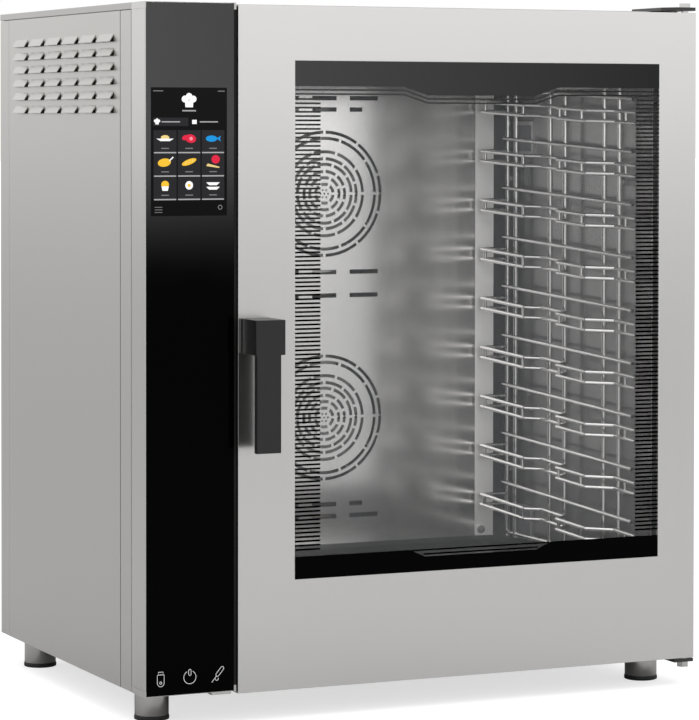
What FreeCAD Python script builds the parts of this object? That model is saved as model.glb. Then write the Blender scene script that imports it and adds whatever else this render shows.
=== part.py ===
import FreeCAD, Part

import math
import os
import re

import Sketcher

# A combi steamer oven for nine trays, built up from its cabinet, door, handle, fans and feet.
# Every size is in millimetres. Cabinet coordinates start at the front lower left corner of the
# control column: X to the right, Y to the back, Z up. Each sub-part's Placement then carries it
# to the row frame, whose origin lies under the middle of the oven, on the floor.

SIZES = {
    "cabinet_wide": 870, "cabinet_tall": 955, "side_deep": 624, "foot_tall": 45,
    "centre_x": 432, "centre_y": 336,
    "gauge": 1.5, "seam": 0.75,
    "column_wide": 135, "column_deep": 52, "glass_rebate": 4.2, "post_deep": 44,
    "rear_seam_y": 581,
    "roof_rim": 9.5, "base_tall": 30,
    "door_left": 138, "door_right": 870, "door_low": -3.5, "door_high": 952,
    "skin_deep": 30, "door_deep": 44,
    "window_left": 224, "window_right": 808, "window_low": 150.3, "window_high": 875.7,
    "inner_left": 178, "inner_right": 822, "inner_low": 128, "inner_high": 872,
    "cavity_left": 169, "cavity_right": 831, "cavity_floor": 105, "cavity_ceiling": 880,
    "cavity_back": 583, "wool": 24,
    "baffle_front": 516, "baffle_left": 203, "baffle_right": 797,
    "baffle_low": 122, "baffle_high": 862, "baffle_return": 22,
    "fan_x": 500, "fan_low_z": 323, "fan_high_z": 677, "slot_wide": 5,
    "injector_reach": 143, "tail_gap": 10, "lamp_y": 465, "lamp_low_z": 147.5, "lamp_high_z": 764.5,
    "wheel_out": 125, "wheel_front": 530, "wheel_back": 572, "shaft_dia": 14,
    "element_out": 160, "element_dia": 8,
    "motor_front": 624, "motor_dia": 128, "motor_long": 84, "cover_deep": 100,
    "hinge_x": 858, "hinge_y": 12, "hinge_pin_dia": 10, "running_gap": 0.05,
    "handle_x": 165.2, "handle_z": 493.7, "handle_out": 52, "grip_thick": 10, "spindle_dia": 12,
    "latch_arm": 16, "latch_pin_dia": 8,
    "screen_left": 11.7, "screen_right": 118, "screen_low": 665, "screen_high": 833.4,
    "tray_levels": 9, "level_top": 805, "level_pitch": 79.2, "guide_gap": 16,
    "guide_rise": 0.042, "guide_front": 66, "rail_above": 20, "rack_low": 122, "rack_high": 850,
    "guide_x": 772, "post_x": 815, "post_dia": 8, "guide_dia": 6,
    "louvre_wide": 56, "louvre_out": 6, "louvre_tall": 12,
    "louvre_pitch_y": 74, "louvre_pitch_z": 20, "louvre_back": 547.9, "louvre_top": 914.5,
    "foot_x": 42, "foot_right_x": 828, "foot_front_y": 84, "foot_back_y": 560, "foot_dia": 48,
    "drain_dia": 40, "drain_y": 400, "drain_run_z": 56, "drain_run_back": 600,
    "vent_dia": 50, "vent_x": 300, "vent_y": 555, "vent_rise": 18,
    "inlet_x": 60, "inlet_right_x": 110, "inlet_z": 60, "inlet_dia": 26.44, "gland_z": 130, "gland_dia": 32,
}

doc = FreeCAD.newDocument("combi_steamer_oven")
sheet = doc.addObject("Spreadsheet::Sheet", "dims")
for row, (alias, number) in enumerate(SIZES.items(), start=1):
    sheet.set(f"A{row}", alias)
    sheet.set(f"B{row}", str(number))
    sheet.setAlias(f"B{row}", alias)
doc.recompute()

ORIGIN = ("-centre_x", "-centre_y", "foot_tall")
NODES = []


def size(alias):
    return float(sheet.get(alias))


def bind(target, prop, formula):
    """Bind a property to a formula written with the sheet's aliases."""
    text = re.sub(r"[a-z]\w*", lambda word: "dims." + word.group(), str(formula))
    target.setExpression(prop, text)


def sub_part(piece):
    """Carry a finished sub-part from cabinet coordinates to the row frame and keep it."""
    for axis, formula in zip("xyz", ORIGIN):
        bind(piece, f"Placement.Base.{axis}", formula)
    NODES.append(piece)
    return piece


def block(name, low, high):
    """A box between two corners, each given as three formulas."""
    box = doc.addObject("Part::Box", name)
    for prop, start, stop in zip(("Length", "Width", "Height"), low, high):
        bind(box, prop, f"({stop}) - ({start})")
    for axis, start in zip("xyz", low):
        bind(box, f"Placement.Base.{axis}", start)
    return box


def rod(name, start, long, dia, along="z"):
    """A cylinder from a start point along an axis."""
    cylinder = doc.addObject("Part::Cylinder", name)
    bind(cylinder, "Radius", f"({dia}) / 2")
    bind(cylinder, "Height", long)
    turn = {"x": (0, 1, 0, 90), "y": (1, 0, 0, -90), "z": (0, 0, 1, 0)}[along]
    cylinder.Placement.Rotation = FreeCAD.Rotation(FreeCAD.Vector(*turn[:3]), turn[3])
    for axis, formula in zip("xyz", start):
        bind(cylinder, f"Placement.Base.{axis}", formula)
    return cylinder


def joined(name, pieces):
    union = doc.addObject("Part::MultiFuse", name)
    union.Shapes = pieces
    return union


def less(name, base, cutters):
    """The base with every cutter taken out of it."""
    cut = doc.addObject("Part::Cut", name)
    cut.Base = base
    cut.Tool = cutters[0] if len(cutters) == 1 else joined(name + "_cutters", cutters)
    return cut


def group(name, pieces):
    """Separate solids that share one node."""
    together = doc.addObject("Part::Compound", name)
    together.Links = pieces
    return sub_part(together)


def feature(name, shape):
    """A sub-part whose shape is worked out from the sheet in this file."""
    piece = doc.addObject("Part::Feature", name)
    piece.Shape = shape
    return piece


def body(name):
    return doc.addObject("PartDesign::Body", name)


def sketch(owner, role, name, offset="0"):
    """A sketch on one of the body's own origin planes, moved along that plane's normal."""
    drawing = owner.newObject("Sketcher::SketchObject", name)
    plane = [item for item in owner.Origin.OriginFeatures if item.Role == role][0]
    drawing.AttachmentSupport = [(plane, "")]
    drawing.MapMode = "FlatFace"
    bind(drawing, "AttachmentOffset.Base.z", offset)
    return drawing


def outline(drawing, corners):
    """A closed outline whose corners are held at formulas."""
    first = drawing.GeometryCount
    count = len(corners)
    rough = [(10 + 5 * math.cos(6.28 * i / count), 10 + 5 * math.sin(6.28 * i / count))
             for i in range(count)]
    for i in range(count):
        start = FreeCAD.Vector(*rough[i], 0)
        stop = FreeCAD.Vector(*rough[(i + 1) % count], 0)
        drawing.addGeometry(Part.LineSegment(start, stop), False)
    for i in range(count):
        joint = Sketcher.Constraint("Coincident", first + i, 2, first + (i + 1) % count, 1)
        drawing.addConstraint(joint)
    for i in range(count):
        for kind, value, formula in zip(("DistanceX", "DistanceY"), rough[i], corners[i]):
            hold = Sketcher.Constraint(kind, -1, 1, first + i, 1, value)
            number = drawing.addConstraint(hold)
            bind(drawing, f"Constraints[{number}]", formula)


def rectangle(drawing, left, low, right, high):
    outline(drawing, [(left, low), (right, low), (right, high), (left, high)])


def circle(drawing, across, up, dia):
    number = drawing.addGeometry(Part.Circle(FreeCAD.Vector(10, 10, 0),
                                             FreeCAD.Vector(0, 0, 1), 4), False)
    for kind, formula in (("DistanceX", across), ("DistanceY", up)):
        hold = drawing.addConstraint(Sketcher.Constraint(kind, -1, 1, number, 3, 10.0))
        bind(drawing, f"Constraints[{hold}]", formula)
    hold = drawing.addConstraint(Sketcher.Constraint("Diameter", number, 8.0))
    bind(drawing, f"Constraints[{hold}]", dia)


def solve(owner):
    doc.recompute()
    return owner.Shape.Volume


def pad(owner, drawing, name, deep, reverse=False):
    made = owner.newObject("PartDesign::Pad", name)
    made.Profile = drawing
    made.Reversed = reverse
    bind(made, "Length", deep)
    return made


def pocket(owner, drawing, name, deep, reverse=False):
    """A pocket that has to take material away."""
    before = solve(owner)
    made = owner.newObject("PartDesign::Pocket", name)
    made.Profile = drawing
    made.Reversed = reverse
    bind(made, "Length", deep)
    if solve(owner) > before - 1:
        raise ValueError(f"{name} cuts nothing")
    return made


def upright_plate(name, front, deep, edges, holes=()):
    """A plate that stands across the oven: its front plane, its depth, its edges and its holes."""
    plate = body(name)
    drawing = sketch(plate, "XZ_Plane", name + "_outline", f"-({front})")
    rectangle(drawing, *edges)
    for hole in holes:
        if len(hole) == 3:
            circle(drawing, *hole)
        else:
            rectangle(drawing, *hole)
    pad(plate, drawing, name + "_sheet", deep, reverse=True)
    return plate


def hollow_from(plate, name, plane_y, deep, edges, forward=True):
    """Hollow an upright plate out from a plane, towards the front or towards the back."""
    drawing = sketch(plate, "XZ_Plane", name + "_outline", f"-({plane_y})")
    rectangle(drawing, *edges)
    pocket(plate, drawing, name, deep, reverse=forward)


# ---------------------------------------------------------------- cabinet shell

def base_frame():
    """A pan between the side panels that everything stands on, with holes for the feet."""
    outer = block("base_outer", ("gauge", "column_deep + 4", "0"),
                  ("cabinet_wide - gauge", "side_deep - 4", "base_tall"))
    inner = block("base_hollow", ("2 * gauge", "column_deep + 4 + gauge", "gauge"),
                  ("cabinet_wide - 2 * gauge", "side_deep - 4 - gauge", "base_tall + 1"))
    stubs = [rod(f"sleeve_hole_{i}", (x, y, "-1"), "5", "40.4")
             for i, (x, y) in enumerate(foot_places())]
    sub_part(less("base_frame", outer, [inner] + stubs))


def foot_places():
    return [(x, y) for y in ("foot_front_y", "foot_back_y") for x in ("foot_x", "foot_right_x")]


def louvre_hood(deep_y, low_z, inset):
    """One lanced hood: a wedge that stands out at its open lower edge. Inset gives its mouth,
    which is open to the front as well."""
    wide = size("louvre_wide") - inset
    tall = size("louvre_tall") - 1.6 * inset
    out = size("louvre_out") - inset
    start = deep_y - inset / 10
    root = 2 * inset or 0.5
    corners = [FreeCAD.Vector(x, start, low_z + z)
               for x, z in ((root, tall), (-out, 1.2), (-out, 0), (root, 0))]
    face = Part.Face(Part.makePolygon(corners + corners[:1]))
    return face.extrude(FreeCAD.Vector(0, wide, 0))


def left_side_panel():
    """The panel between the two posts, with six columns of six louvres pressed out of it."""
    seam, gauge = size("seam"), size("gauge")
    front = size("column_deep") + size("post_deep") + seam
    back = size("rear_seam_y") - seam
    high = size("cabinet_tall") - size("roof_rim") - seam
    low = size("base_tall") + seam
    sheet_metal = Part.makeBox(gauge, back - front, high, FreeCAD.Vector(0, front, 0))
    returns = [Part.makeBox(12, gauge, high - low, FreeCAD.Vector(0, y, low))
               for y in (front, back - gauge)]
    panel = sheet_metal.multiFuse(returns)
    hoods, mouths = [], []
    for column in range(6):
        start = size("louvre_back") - size("louvre_wide") - column * size("louvre_pitch_y")
        for level in range(6):
            lip = size("louvre_top") - size("louvre_tall") - level * size("louvre_pitch_z")
            hoods.append(louvre_hood(start, lip, 0))
            mouths.append(louvre_hood(start, lip - 0.01, 0.9))
    return sub_part(feature("left_side_panel", panel.multiFuse(hoods).cut(mouths)))


def right_side_panel():
    panel = block("right_sheet", ("cabinet_wide - gauge", "column_deep + 2.5", "0"),
                  ("cabinet_wide", "rear_seam_y - seam", "cabinet_tall - roof_rim - seam"))
    edge = block("right_return", ("cabinet_wide - 12", "rear_seam_y - seam - gauge", "base_tall + seam"),
                 ("cabinet_wide", "rear_seam_y - seam", "cabinet_tall - roof_rim - seam"))
    sub_part(joined("right_side_panel", [panel, edge]))


def corner_posts():
    """Folded angles at three corners: each has a leg along the side and one across the oven."""
    posts = {}
    top = "cabinet_tall - roof_rim - seam"
    places = {
        "left_front_post": (("0", "column_deep + 2.25"), ("gauge", "column_deep + post_deep - seam"),
                            ("0", "column_deep + 2.25"), ("20", "column_deep + 3.75")),
        "left_rear_post": (("0", "rear_seam_y + seam"), ("gauge", "side_deep - gauge - 0.75"),
                           ("0", "side_deep - 3.75"), ("20", "side_deep - 2.25")),
        "right_rear_post": (("cabinet_wide - gauge", "rear_seam_y + seam"),
                            ("cabinet_wide", "side_deep - gauge - 0.75"),
                            ("cabinet_wide - 20", "side_deep - 3.75"),
                            ("cabinet_wide", "side_deep - 2.25")),
    }
    for name, (leg_low, leg_high, fold_low, fold_high) in places.items():
        leg = block(name + "_leg", (*leg_low, "0"), (*leg_high, top))
        fold = block(name + "_fold", (*fold_low, "0"), (*fold_high, top))
        posts[name] = joined(name, [leg, fold])
    sub_part(posts["left_front_post"])
    group("rear_posts", [posts["left_rear_post"], posts["right_rear_post"]])


def roof_panel():
    """The cover, whose rim is turned down over the side panels."""
    outer = block("roof_outer", ("0", "column_deep + seam", "cabinet_tall - roof_rim"),
                  ("cabinet_wide", "side_deep", "cabinet_tall"))
    inner = block("roof_hollow", ("gauge", "column_deep + seam + gauge", "cabinet_tall - 20"),
                  ("cabinet_wide - gauge", "side_deep - gauge", "cabinet_tall - gauge"))
    hole = rod("roof_vent_hole", ("vent_x", "vent_y", "cabinet_tall - 5"), "10", "vent_dia + 1")
    sub_part(less("roof_panel", outer, [inner, hole]))


def rear_panel():
    holes = [("fan_x", z, "shaft_dia + 16") for z in ("fan_low_z", "fan_high_z")]
    holes += [(x, "inlet_z", "inlet_dia + 2.6") for x in ("inlet_x", "inlet_right_x")]
    holes += [("fan_x", "drain_run_z", "drain_dia + 3"), ("inlet_x", "gland_z", "gland_dia + 1")]
    sub_part(upright_plate("rear_panel", "side_deep - gauge", "gauge",
                           ("22", "base_tall + 1", "cabinet_wide - 22", "cabinet_tall - 12"), holes))


def rear_motor_cover():
    """A box over the two fan motors, with a field of cooling slots in its back."""
    cover = upright_plate("rear_motor_cover", "side_deep", "cover_deep",
                          ("350", "180", "650", "820"))
    hollow_from(cover, "cover_hollow", "side_deep", "cover_deep - gauge",
                ("350 + gauge", "180 + gauge", "650 - gauge", "820 - gauge"), forward=False)
    drawing = sketch(cover, "XZ_Plane", "slot_outline", "-(side_deep + cover_deep)")
    rectangle(drawing, "380", "220", "430", "226")
    slot = pocket(cover, drawing, "cooling_slot", "4", reverse=True)
    slot.Refine = False
    repeat = cover.newObject("PartDesign::MultiTransform", "slot_field")
    repeat.Originals = [slot]
    across = cover.newObject("PartDesign::LinearPattern", "slots_across")
    across.Direction = (drawing, ["H_Axis"])
    bind(across, "Length", "190")
    across.Occurrences = 3
    upwards = cover.newObject("PartDesign::LinearPattern", "slots_upwards")
    upwards.Direction = (drawing, ["V_Axis"])
    bind(upwards, "Length", "154")
    upwards.Occurrences = 8
    repeat.Transformations = [across, upwards]
    cover.Tip = repeat
    sub_part(cover)


def front_frame():
    """The face that the door closes on, open for the cavity, the wiring and the latch."""
    sub_part(upright_plate("front_frame", "column_deep + seam", "gauge",
                           ("0", "0.75", "cabinet_wide", "cabinet_tall - roof_rim - seam"),
                           [("cavity_left", "cavity_floor", "cavity_right", "cavity_ceiling"),
                            ("20", "80", "118", "900"),
                            ("handle_x - 22", "handle_z - 24", "handle_x - 5", "handle_z + 24")]))


def strike_plate():
    """The keeper behind the latch window."""
    sub_part(upright_plate("strike_plate", "column_deep + seam + gauge", "3",
                           ("handle_x - 24", "handle_z - 41", "handle_x", "handle_z + 41"),
                           [("handle_x - 21", "handle_z - 20", "handle_x - 5",
                             "handle_z + 20")]))


# ---------------------------------------------------------------- cavity

def cavity_shell():
    """The welded chamber: open at the front, with shaft, lamp, drain and vent holes."""
    lip = "column_deep + seam + gauge"
    outer = block("chamber_outer", ("cavity_left - gauge", lip, "cavity_floor - gauge"),
                  ("cavity_right + gauge", "cavity_back + gauge", "cavity_ceiling + gauge"))
    inner = block("chamber_inner", ("cavity_left", "0", "cavity_floor"),
                  ("cavity_right", "cavity_back", "cavity_ceiling"))
    cutters = [inner]
    for name, z in (("low", "fan_low_z"), ("high", "fan_high_z")):
        cutters.append(rod("chamber_shaft_" + name, ("fan_x", "cavity_back - 1", z), "5", "24",
                           "y"))
        cutters.append(rod("chamber_tube_" + name, ("fan_x + injector_reach", "cavity_back - 1", z), "5",
                           "8", "y"))
        for side, sign in (("left", "-"), ("right", "+")):
            cutters.append(rod(f"chamber_tail_{name}_{side}",
                               (f"fan_x - element_out * 0.8 {sign} tail_gap", "cavity_back - 1",
                                f"{z} - element_out * 0.6"), "5", "element_dia", "y"))
        cutters.append(rod("chamber_lamp_" + name,
                           ("cavity_right - 1", "lamp_y", f"lamp_{name}_z"), "4", "40", "x"))
    cutters.append(rod("chamber_drain", ("fan_x", "drain_y", "cavity_floor - 3"), "4",
                       "drain_dia"))
    cutters.append(rod("chamber_vent", ("vent_x", "vent_y", "cavity_ceiling - 1"), "4",
                       "vent_dia - 4"))
    sub_part(less("cavity_shell", outer, cutters))


def cavity_insulation():
    """Mineral wool round the chamber, one blanket with its joints closed."""
    near = "cavity_left - gauge"
    outer = block("wool_outer", ("cavity_left - gauge - wool", "column_deep + 8",
                                 "cavity_floor - gauge - wool"),
                  ("cavity_right + gauge + wool", "cavity_back + gauge + wool",
                   "cavity_ceiling + gauge + wool"))
    inner = block("wool_inner", (near, "0", "cavity_floor - gauge"),
                  ("cavity_right + gauge", "cavity_back + gauge", "cavity_ceiling + gauge"))
    cutters = [inner]
    for name, z in (("low", "fan_low_z"), ("high", "fan_high_z")):
        cutters.append(rod("wool_shaft_" + name, ("fan_x", "cavity_back", z), "60", "30", "y"))
        cutters.append(rod("wool_tube_" + name, ("fan_x + injector_reach", "cavity_back", z), "60", "12",
                           "y"))
        cutters.append(block("wool_tails_" + name,
                             ("fan_x - element_out * 0.8 - 20", "cavity_back",
                              f"{z} - element_out * 0.6 - 8"),
                             ("fan_x - element_out * 0.8 + 20", "cavity_back + 60",
                              f"{z} - element_out * 0.6 + 8")))
        cutters.append(rod("wool_lamp_" + name, ("cavity_right", "lamp_y", f"lamp_{name}_z"),
                           "60", "44", "x"))
    cutters.append(rod("wool_drain", ("fan_x", "drain_y", "0"), "cavity_floor",
                       "drain_dia + 2"))
    cutters.append(rod("wool_vent", ("vent_x", "vent_y", "cavity_ceiling"), "60",
                       "vent_dia + 1"))
    sub_part(less("cavity_insulation", outer, cutters))


def ring_section(name, front, deep, edges, wide):
    """A frame-shaped ring of constant width round four edges."""
    left, low, right, high = edges
    outer = [f"{left} - {wide}", f"{low} - {wide}", f"{right} + {wide}", f"{high} + {wide}"]
    return upright_plate(name, front, deep, outer, [edges])


def door_gasket():
    """The silicone seal round the chamber's mouth. It ends just short of the closed door."""
    sub_part(ring_section("door_gasket", "door_deep + 0.4", "column_deep + seam - door_deep - 0.4",
                          ("cavity_left", "cavity_floor", "cavity_right", "cavity_ceiling"), "8"))


def slot_ring_places():
    """Each ring of the fan grille: its radius, its count of slots and whether a bar is at 0."""
    return [(15, 6, True), (25.4, 8, False), (35.2, 10, False), (46.5, 10, True),
            (55.3, 10, False), (66.4, 10, True), (87.5, 10, True), (97.3, 10, False)]


def arc_slot(radius, start, sweep, deep):
    """A curved slot with square ends, centred on the Y axis, as a cutter."""
    half = size("slot_wide") / 2
    along_y = FreeCAD.Vector(0, 1, 0)
    low, high = math.radians(start), math.radians(start + sweep)

    def at(distance, angle):
        return FreeCAD.Vector(distance * math.cos(angle), 0, distance * math.sin(angle))

    middle = (low + high) / 2
    outer = Part.Arc(at(radius + half, low), at(radius + half, middle), at(radius + half, high))
    inner = Part.Arc(at(radius - half, high), at(radius - half, middle), at(radius - half, low))
    edges = [outer.toShape(), Part.LineSegment(at(radius + half, high),
                                               at(radius - half, high)).toShape(),
             inner.toShape(), Part.LineSegment(at(radius - half, low),
                                               at(radius + half, low)).toShape()]
    return Part.Face(Part.Wire(edges)).extrude(along_y * deep)


def grille_cutters():
    """All the openings of one fan grille, about the Y axis."""
    deep, bridge = 6, 4.5
    along_y = FreeCAD.Vector(0, 1, 0)
    cutters = [Part.makeCylinder(1.6, deep, FreeCAD.Vector(), along_y)]
    for hole in range(6):
        angle = math.radians(60 * hole)
        centre = FreeCAD.Vector(6.5 * math.cos(angle), 0, 6.5 * math.sin(angle))
        cutters.append(Part.makeCylinder(1.6, deep, centre, along_y))
    for radius, count, bar_at_zero in slot_ring_places():
        pitch = 360 / count
        gap = math.degrees(bridge / radius)
        offset = 0 if bar_at_zero else pitch / 2
        for slot in range(count):
            cutters.append(arc_slot(radius, offset + slot * pitch + gap / 2, pitch - gap, deep))
    return cutters


def baffle_dashes():
    """The straight openings above, between and below the two grilles."""
    short, long = (44, 66), (44, 93)
    rows = [(828, long), (810, short), (553, long), (516, long), (185, short), (166, long)]
    cutters = []
    for height, (near, far) in rows:
        spans = [(-21, 21), (near, far), (-far, -near)]
        for start, stop in spans:
            corner = FreeCAD.Vector(size("fan_x") + start, size("baffle_front") - 2, height - 3.5)
            cutters.append(Part.makeBox(stop - start, 6, 7, corner))
    return cutters


def fan_baffle():
    """The plate before the fans: side returns, two slotted grilles and rows of dashes."""
    front, gauge = size("baffle_front"), size("gauge")
    low, high = size("baffle_low"), size("baffle_high")
    left, right = size("baffle_left"), size("baffle_right")
    sheet_metal = Part.makeBox(right - left, gauge, high - low, FreeCAD.Vector(left, front, low))
    deep = size("baffle_return")
    returns = [Part.makeBox(gauge, deep, high - low, FreeCAD.Vector(x, front, low))
               for x in (left, right - gauge)]
    cutters = baffle_dashes()
    for height in (size("fan_low_z"), size("fan_high_z")):
        place = FreeCAD.Vector(size("fan_x"), front - 2, height)
        for cutter in grille_cutters():
            cutters.append(cutter.translated(place))
    sub_part(feature("fan_baffle", sheet_metal.multiFuse(returns).cut(cutters)))


def baffle_screws():
    """Four screws that hold the baffle's stand-offs to the chamber's back."""
    pieces = []
    for side, x in (("left", "baffle_left + 20"), ("right", "baffle_right - 20")):
        for level, z in (("low", "baffle_low + 10"), ("high", "baffle_high - 8")):
            name = f"baffle_{level}_{side}"
            stand = rod(name + "_standoff", (x, "baffle_front + gauge", z),
                        "cavity_back - baffle_front - gauge", "10", "y")
            head = rod(name + "_head", (x, "baffle_front - 4", z), "4", "14", "y")
            pieces += [stand, head]
    group("baffle_screws", pieces)


def heating_element(name, height):
    """Three tubular rings round the fan wheel, with two tails through the chamber's back."""
    radius, thick = size("element_out"), size("element_dia") / 2
    along_y = FreeCAD.Vector(0, 1, 0)
    centre = FreeCAD.Vector(size("fan_x"), 0, height)
    planes = [538, 550, 562]
    rings = [Part.makeTorus(radius, thick, centre + along_y * y, along_y) for y in planes]
    bridge = Part.makeCylinder(thick * 0.9, planes[-1] - planes[0],
                               centre + FreeCAD.Vector(radius * 0.8, planes[0], -radius * 0.6),
                               along_y)
    tails = []
    for side in (-size("tail_gap"), size("tail_gap")):
        start = centre + FreeCAD.Vector(-radius * 0.8 + side, planes[-1], -radius * 0.6)
        tails.append(Part.makeCylinder(thick - 0.1, 60, start, along_y))
    foot = Part.makeBox(30, 2 * thick - 1, 8,
                        centre + FreeCAD.Vector(-radius * 0.8 - 15, planes[-1] - thick + 0.5,
                                                -radius * 0.6 - 4))
    return feature(name, rings[0].multiFuse(rings[1:] + [bridge, foot] + tails))


def water_injector(name, height):
    """The tube that brings water to the fan's hub: along Y, then across to the hub."""
    run = rod(name + "_run", ("fan_x + injector_reach", "524", height), "90", "7.8", "y")
    reach = rod(name + "_reach", ("fan_x + 12", "524", height), "injector_reach - 12",
                "7.8", "x")
    return joined(name, [run, reach])


def lamps():
    """Two lamps in the right wall, each a glass inside a frame."""
    glasses, frames = [], []
    for name in ("low", "high"):
        z = f"lamp_{name}_z"
        glass = block("glass_" + name, ("cavity_right - 3", "lamp_y - 27", f"{z} - 21"),
                      ("cavity_right", "lamp_y + 27", f"{z} + 21"))
        rim = block("rim_" + name, ("cavity_right - 4", "lamp_y - 33", f"{z} - 27"),
                    ("cavity_right", "lamp_y + 33", f"{z} + 27"))
        hole = block("rim_hole_" + name, ("cavity_right - 5", "lamp_y - 27", f"{z} - 21"),
                     ("cavity_right + 1", "lamp_y + 27", f"{z} + 21"))
        glasses.append(glass)
        frames.append(less("rim_frame_" + name, rim, [hole]))
    group("lamp_glasses", glasses)
    group("lamp_frames", frames)


def round_wire(points, dia):
    """A bent wire through a list of points, its corners closed by balls."""
    radius = dia / 2
    spans = []
    for start, stop in zip(points, points[1:]):
        run = stop.sub(start)
        spans.append(Part.makeCylinder(radius, run.Length, start, run))
    balls = [Part.makeSphere(radius, point) for point in points[1:-1]]
    return spans[0].multiFuse(spans[1:] + balls)


POST_PLACES = (129, 176, 301, 350, 466, 495)


def wire_touch():
    """How far the middle of a wire is from the middle of a post that it is welded to."""
    return (size("post_dia") + size("guide_dia")) / 2


def guide_plan():
    """The plan of one tray guide on the right: X and Y of its bends."""
    inner, outer = size("guide_x"), size("post_x") - wire_touch()
    middle, back = inner + 22, POST_PLACES[-1] + wire_touch()
    return [(outer, size("guide_front")), (outer, 130), (inner, 156), (inner, 246),
            (middle, 262), (middle, 338), (inner, 354), (inner, back), (size("post_x") + 4, back)]


def on_guide(x, y, height):
    """A point at a height above the guides' front ends: every guide rises to the back."""
    return FreeCAD.Vector(x, y, height + size("guide_rise") * (y - size("guide_front")))


def guide_level(height):
    """One level: an upper and a lower wire, the uprights between them and a rail above."""
    dia, gap = size("guide_dia"), size("guide_gap")
    wires = [round_wire([on_guide(x, y, level) for x, y in guide_plan()], dia)
             for level in (height, height - gap)]
    inner, outer = size("guide_x"), size("post_x") - wire_touch()
    for x, y in ((outer, 98), (inner, 170), (inner, 240), (inner, 360), (inner, 490)):
        wires.append(Part.makeCylinder(dia / 2 - 0.5, gap, on_guide(x, y, height - gap)))
    rail = round_wire([on_guide(outer, y, height + size("rail_above"))
                       for y in (77, POST_PLACES[-1] + 3)], dia)
    return [wires[0].multiFuse(wires[1:]), rail]


def to_left(shape):
    """Mirror a right-hand rack piece to the left, across the chamber's middle."""
    return shape.mirror(FreeCAD.Vector(size("fan_x"), 0, 0), FreeCAD.Vector(1, 0, 0))


def rack_frame():
    """The six upright wires of a rack and the two bars that join them."""
    x, dia = size("post_x"), size("post_dia")
    low, high = size("rack_low"), size("rack_high")
    posts = [Part.makeCylinder(dia / 2, high - low, FreeCAD.Vector(x, y, low))
             for y in POST_PLACES]
    bars = [Part.makeCylinder(dia / 2 - 0.5, POST_PLACES[-1] - POST_PLACES[0],
                              FreeCAD.Vector(x, POST_PLACES[0], z), FreeCAD.Vector(0, 1, 0))
            for z in (low + 6, high - 6)]
    return posts[0].multiFuse(posts[1:] + bars)


def tray_racks():
    """On each side nine tray guides welded to upright wires, and the pegs that hold them."""
    level = guide_level(size("level_top"))
    wires = [rack_frame()]
    for i in range(int(size("tray_levels"))):
        drop = FreeCAD.Vector(0, 0, -i * size("level_pitch"))
        wires += [wire.translated(drop) for wire in level]
    start = size("post_x") + size("post_dia") / 2
    pegs = [Part.makeCylinder(5, size("cavity_right") - start, FreeCAD.Vector(start, y, z),
                              FreeCAD.Vector(1, 0, 0))
            for y in (POST_PLACES[0], POST_PLACES[-1]) for z in (230, 700)]
    sub_part(feature("right_tray_rack", Part.makeCompound(wires)))
    sub_part(feature("left_tray_rack", Part.makeCompound([to_left(wire) for wire in wires])))
    sub_part(feature("rack_pegs", Part.makeCompound(pegs + [to_left(peg) for peg in pegs])))


def drain():
    """The strainer in the floor, the pipe that leads to the back and its outlet spigot."""
    disc = rod("strainer_disc", ("fan_x", "drain_y", "cavity_floor"), "2", "80")
    holes = [rod("strainer_hole_0", ("fan_x", "drain_y", "cavity_floor - 1"), "5", "8")]
    for i in range(6):
        angle = math.radians(60 * i)
        holes.append(rod(f"strainer_hole_{i + 1}",
                         (f"fan_x + {13 * math.cos(angle):.3f}",
                          f"drain_y + {13 * math.sin(angle):.3f}", "cavity_floor - 1"),
                         "5", "8"))
    sub_part(less("drain_strainer", disc, holes))
    outer = joined("drain_outer", [
        rod("drain_drop", ("fan_x", "drain_y", "drain_run_z"),
            "cavity_floor - gauge - drain_run_z", "drain_dia"),
        rod("drain_run", ("fan_x", "drain_y - 24", "drain_run_z"),
            "drain_run_back - drain_y + 24", "drain_dia + 2", "y"),
        rod("drain_spigot", ("fan_x", "drain_run_back", "drain_run_z"), "70", "drain_dia - 2",
            "y")])
    bore = joined("drain_bore", [
        rod("drain_drop_bore", ("fan_x", "drain_y", "drain_run_z"), "60", "drain_dia - 4"),
        rod("drain_run_bore", ("fan_x", "drain_y - 21", "drain_run_z"),
            "drain_run_back - drain_y + 18", "drain_dia - 2", "y"),
        rod("drain_spigot_bore", ("fan_x", "drain_run_back - 4", "drain_run_z"), "75",
            "drain_dia - 6", "y")])
    sub_part(less("drain_pipe", outer, [bore]))


def vent_pipe():
    tube = rod("vent_tube", ("vent_x", "vent_y", "cavity_ceiling + gauge"),
               "cabinet_tall + vent_rise - cavity_ceiling - gauge", "vent_dia")
    bore = rod("vent_bore", ("vent_x", "vent_y", "cavity_ceiling"),
               "cabinet_tall + vent_rise", "vent_dia - 4")
    sub_part(less("vent_pipe", tube, [bore]))


# ---------------------------------------------------------------- fans and motors

def fan_motor(name, height):
    """A motor on the rear panel: its flange, its barrel and the bore for the shaft."""
    flange = rod(name + "_flange", ("fan_x", "motor_front", height), "6", "motor_dia + 22", "y")
    barrel = rod(name + "_barrel", ("fan_x", "motor_front + 6", height), "motor_long - 6",
                 "motor_dia", "y")
    bore = rod(name + "_bore", ("fan_x", "motor_front - 1", height), "41",
               "shaft_dia + 2 * running_gap", "y")
    return less(name, joined(name + "_case", [flange, barrel]), [bore])


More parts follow.
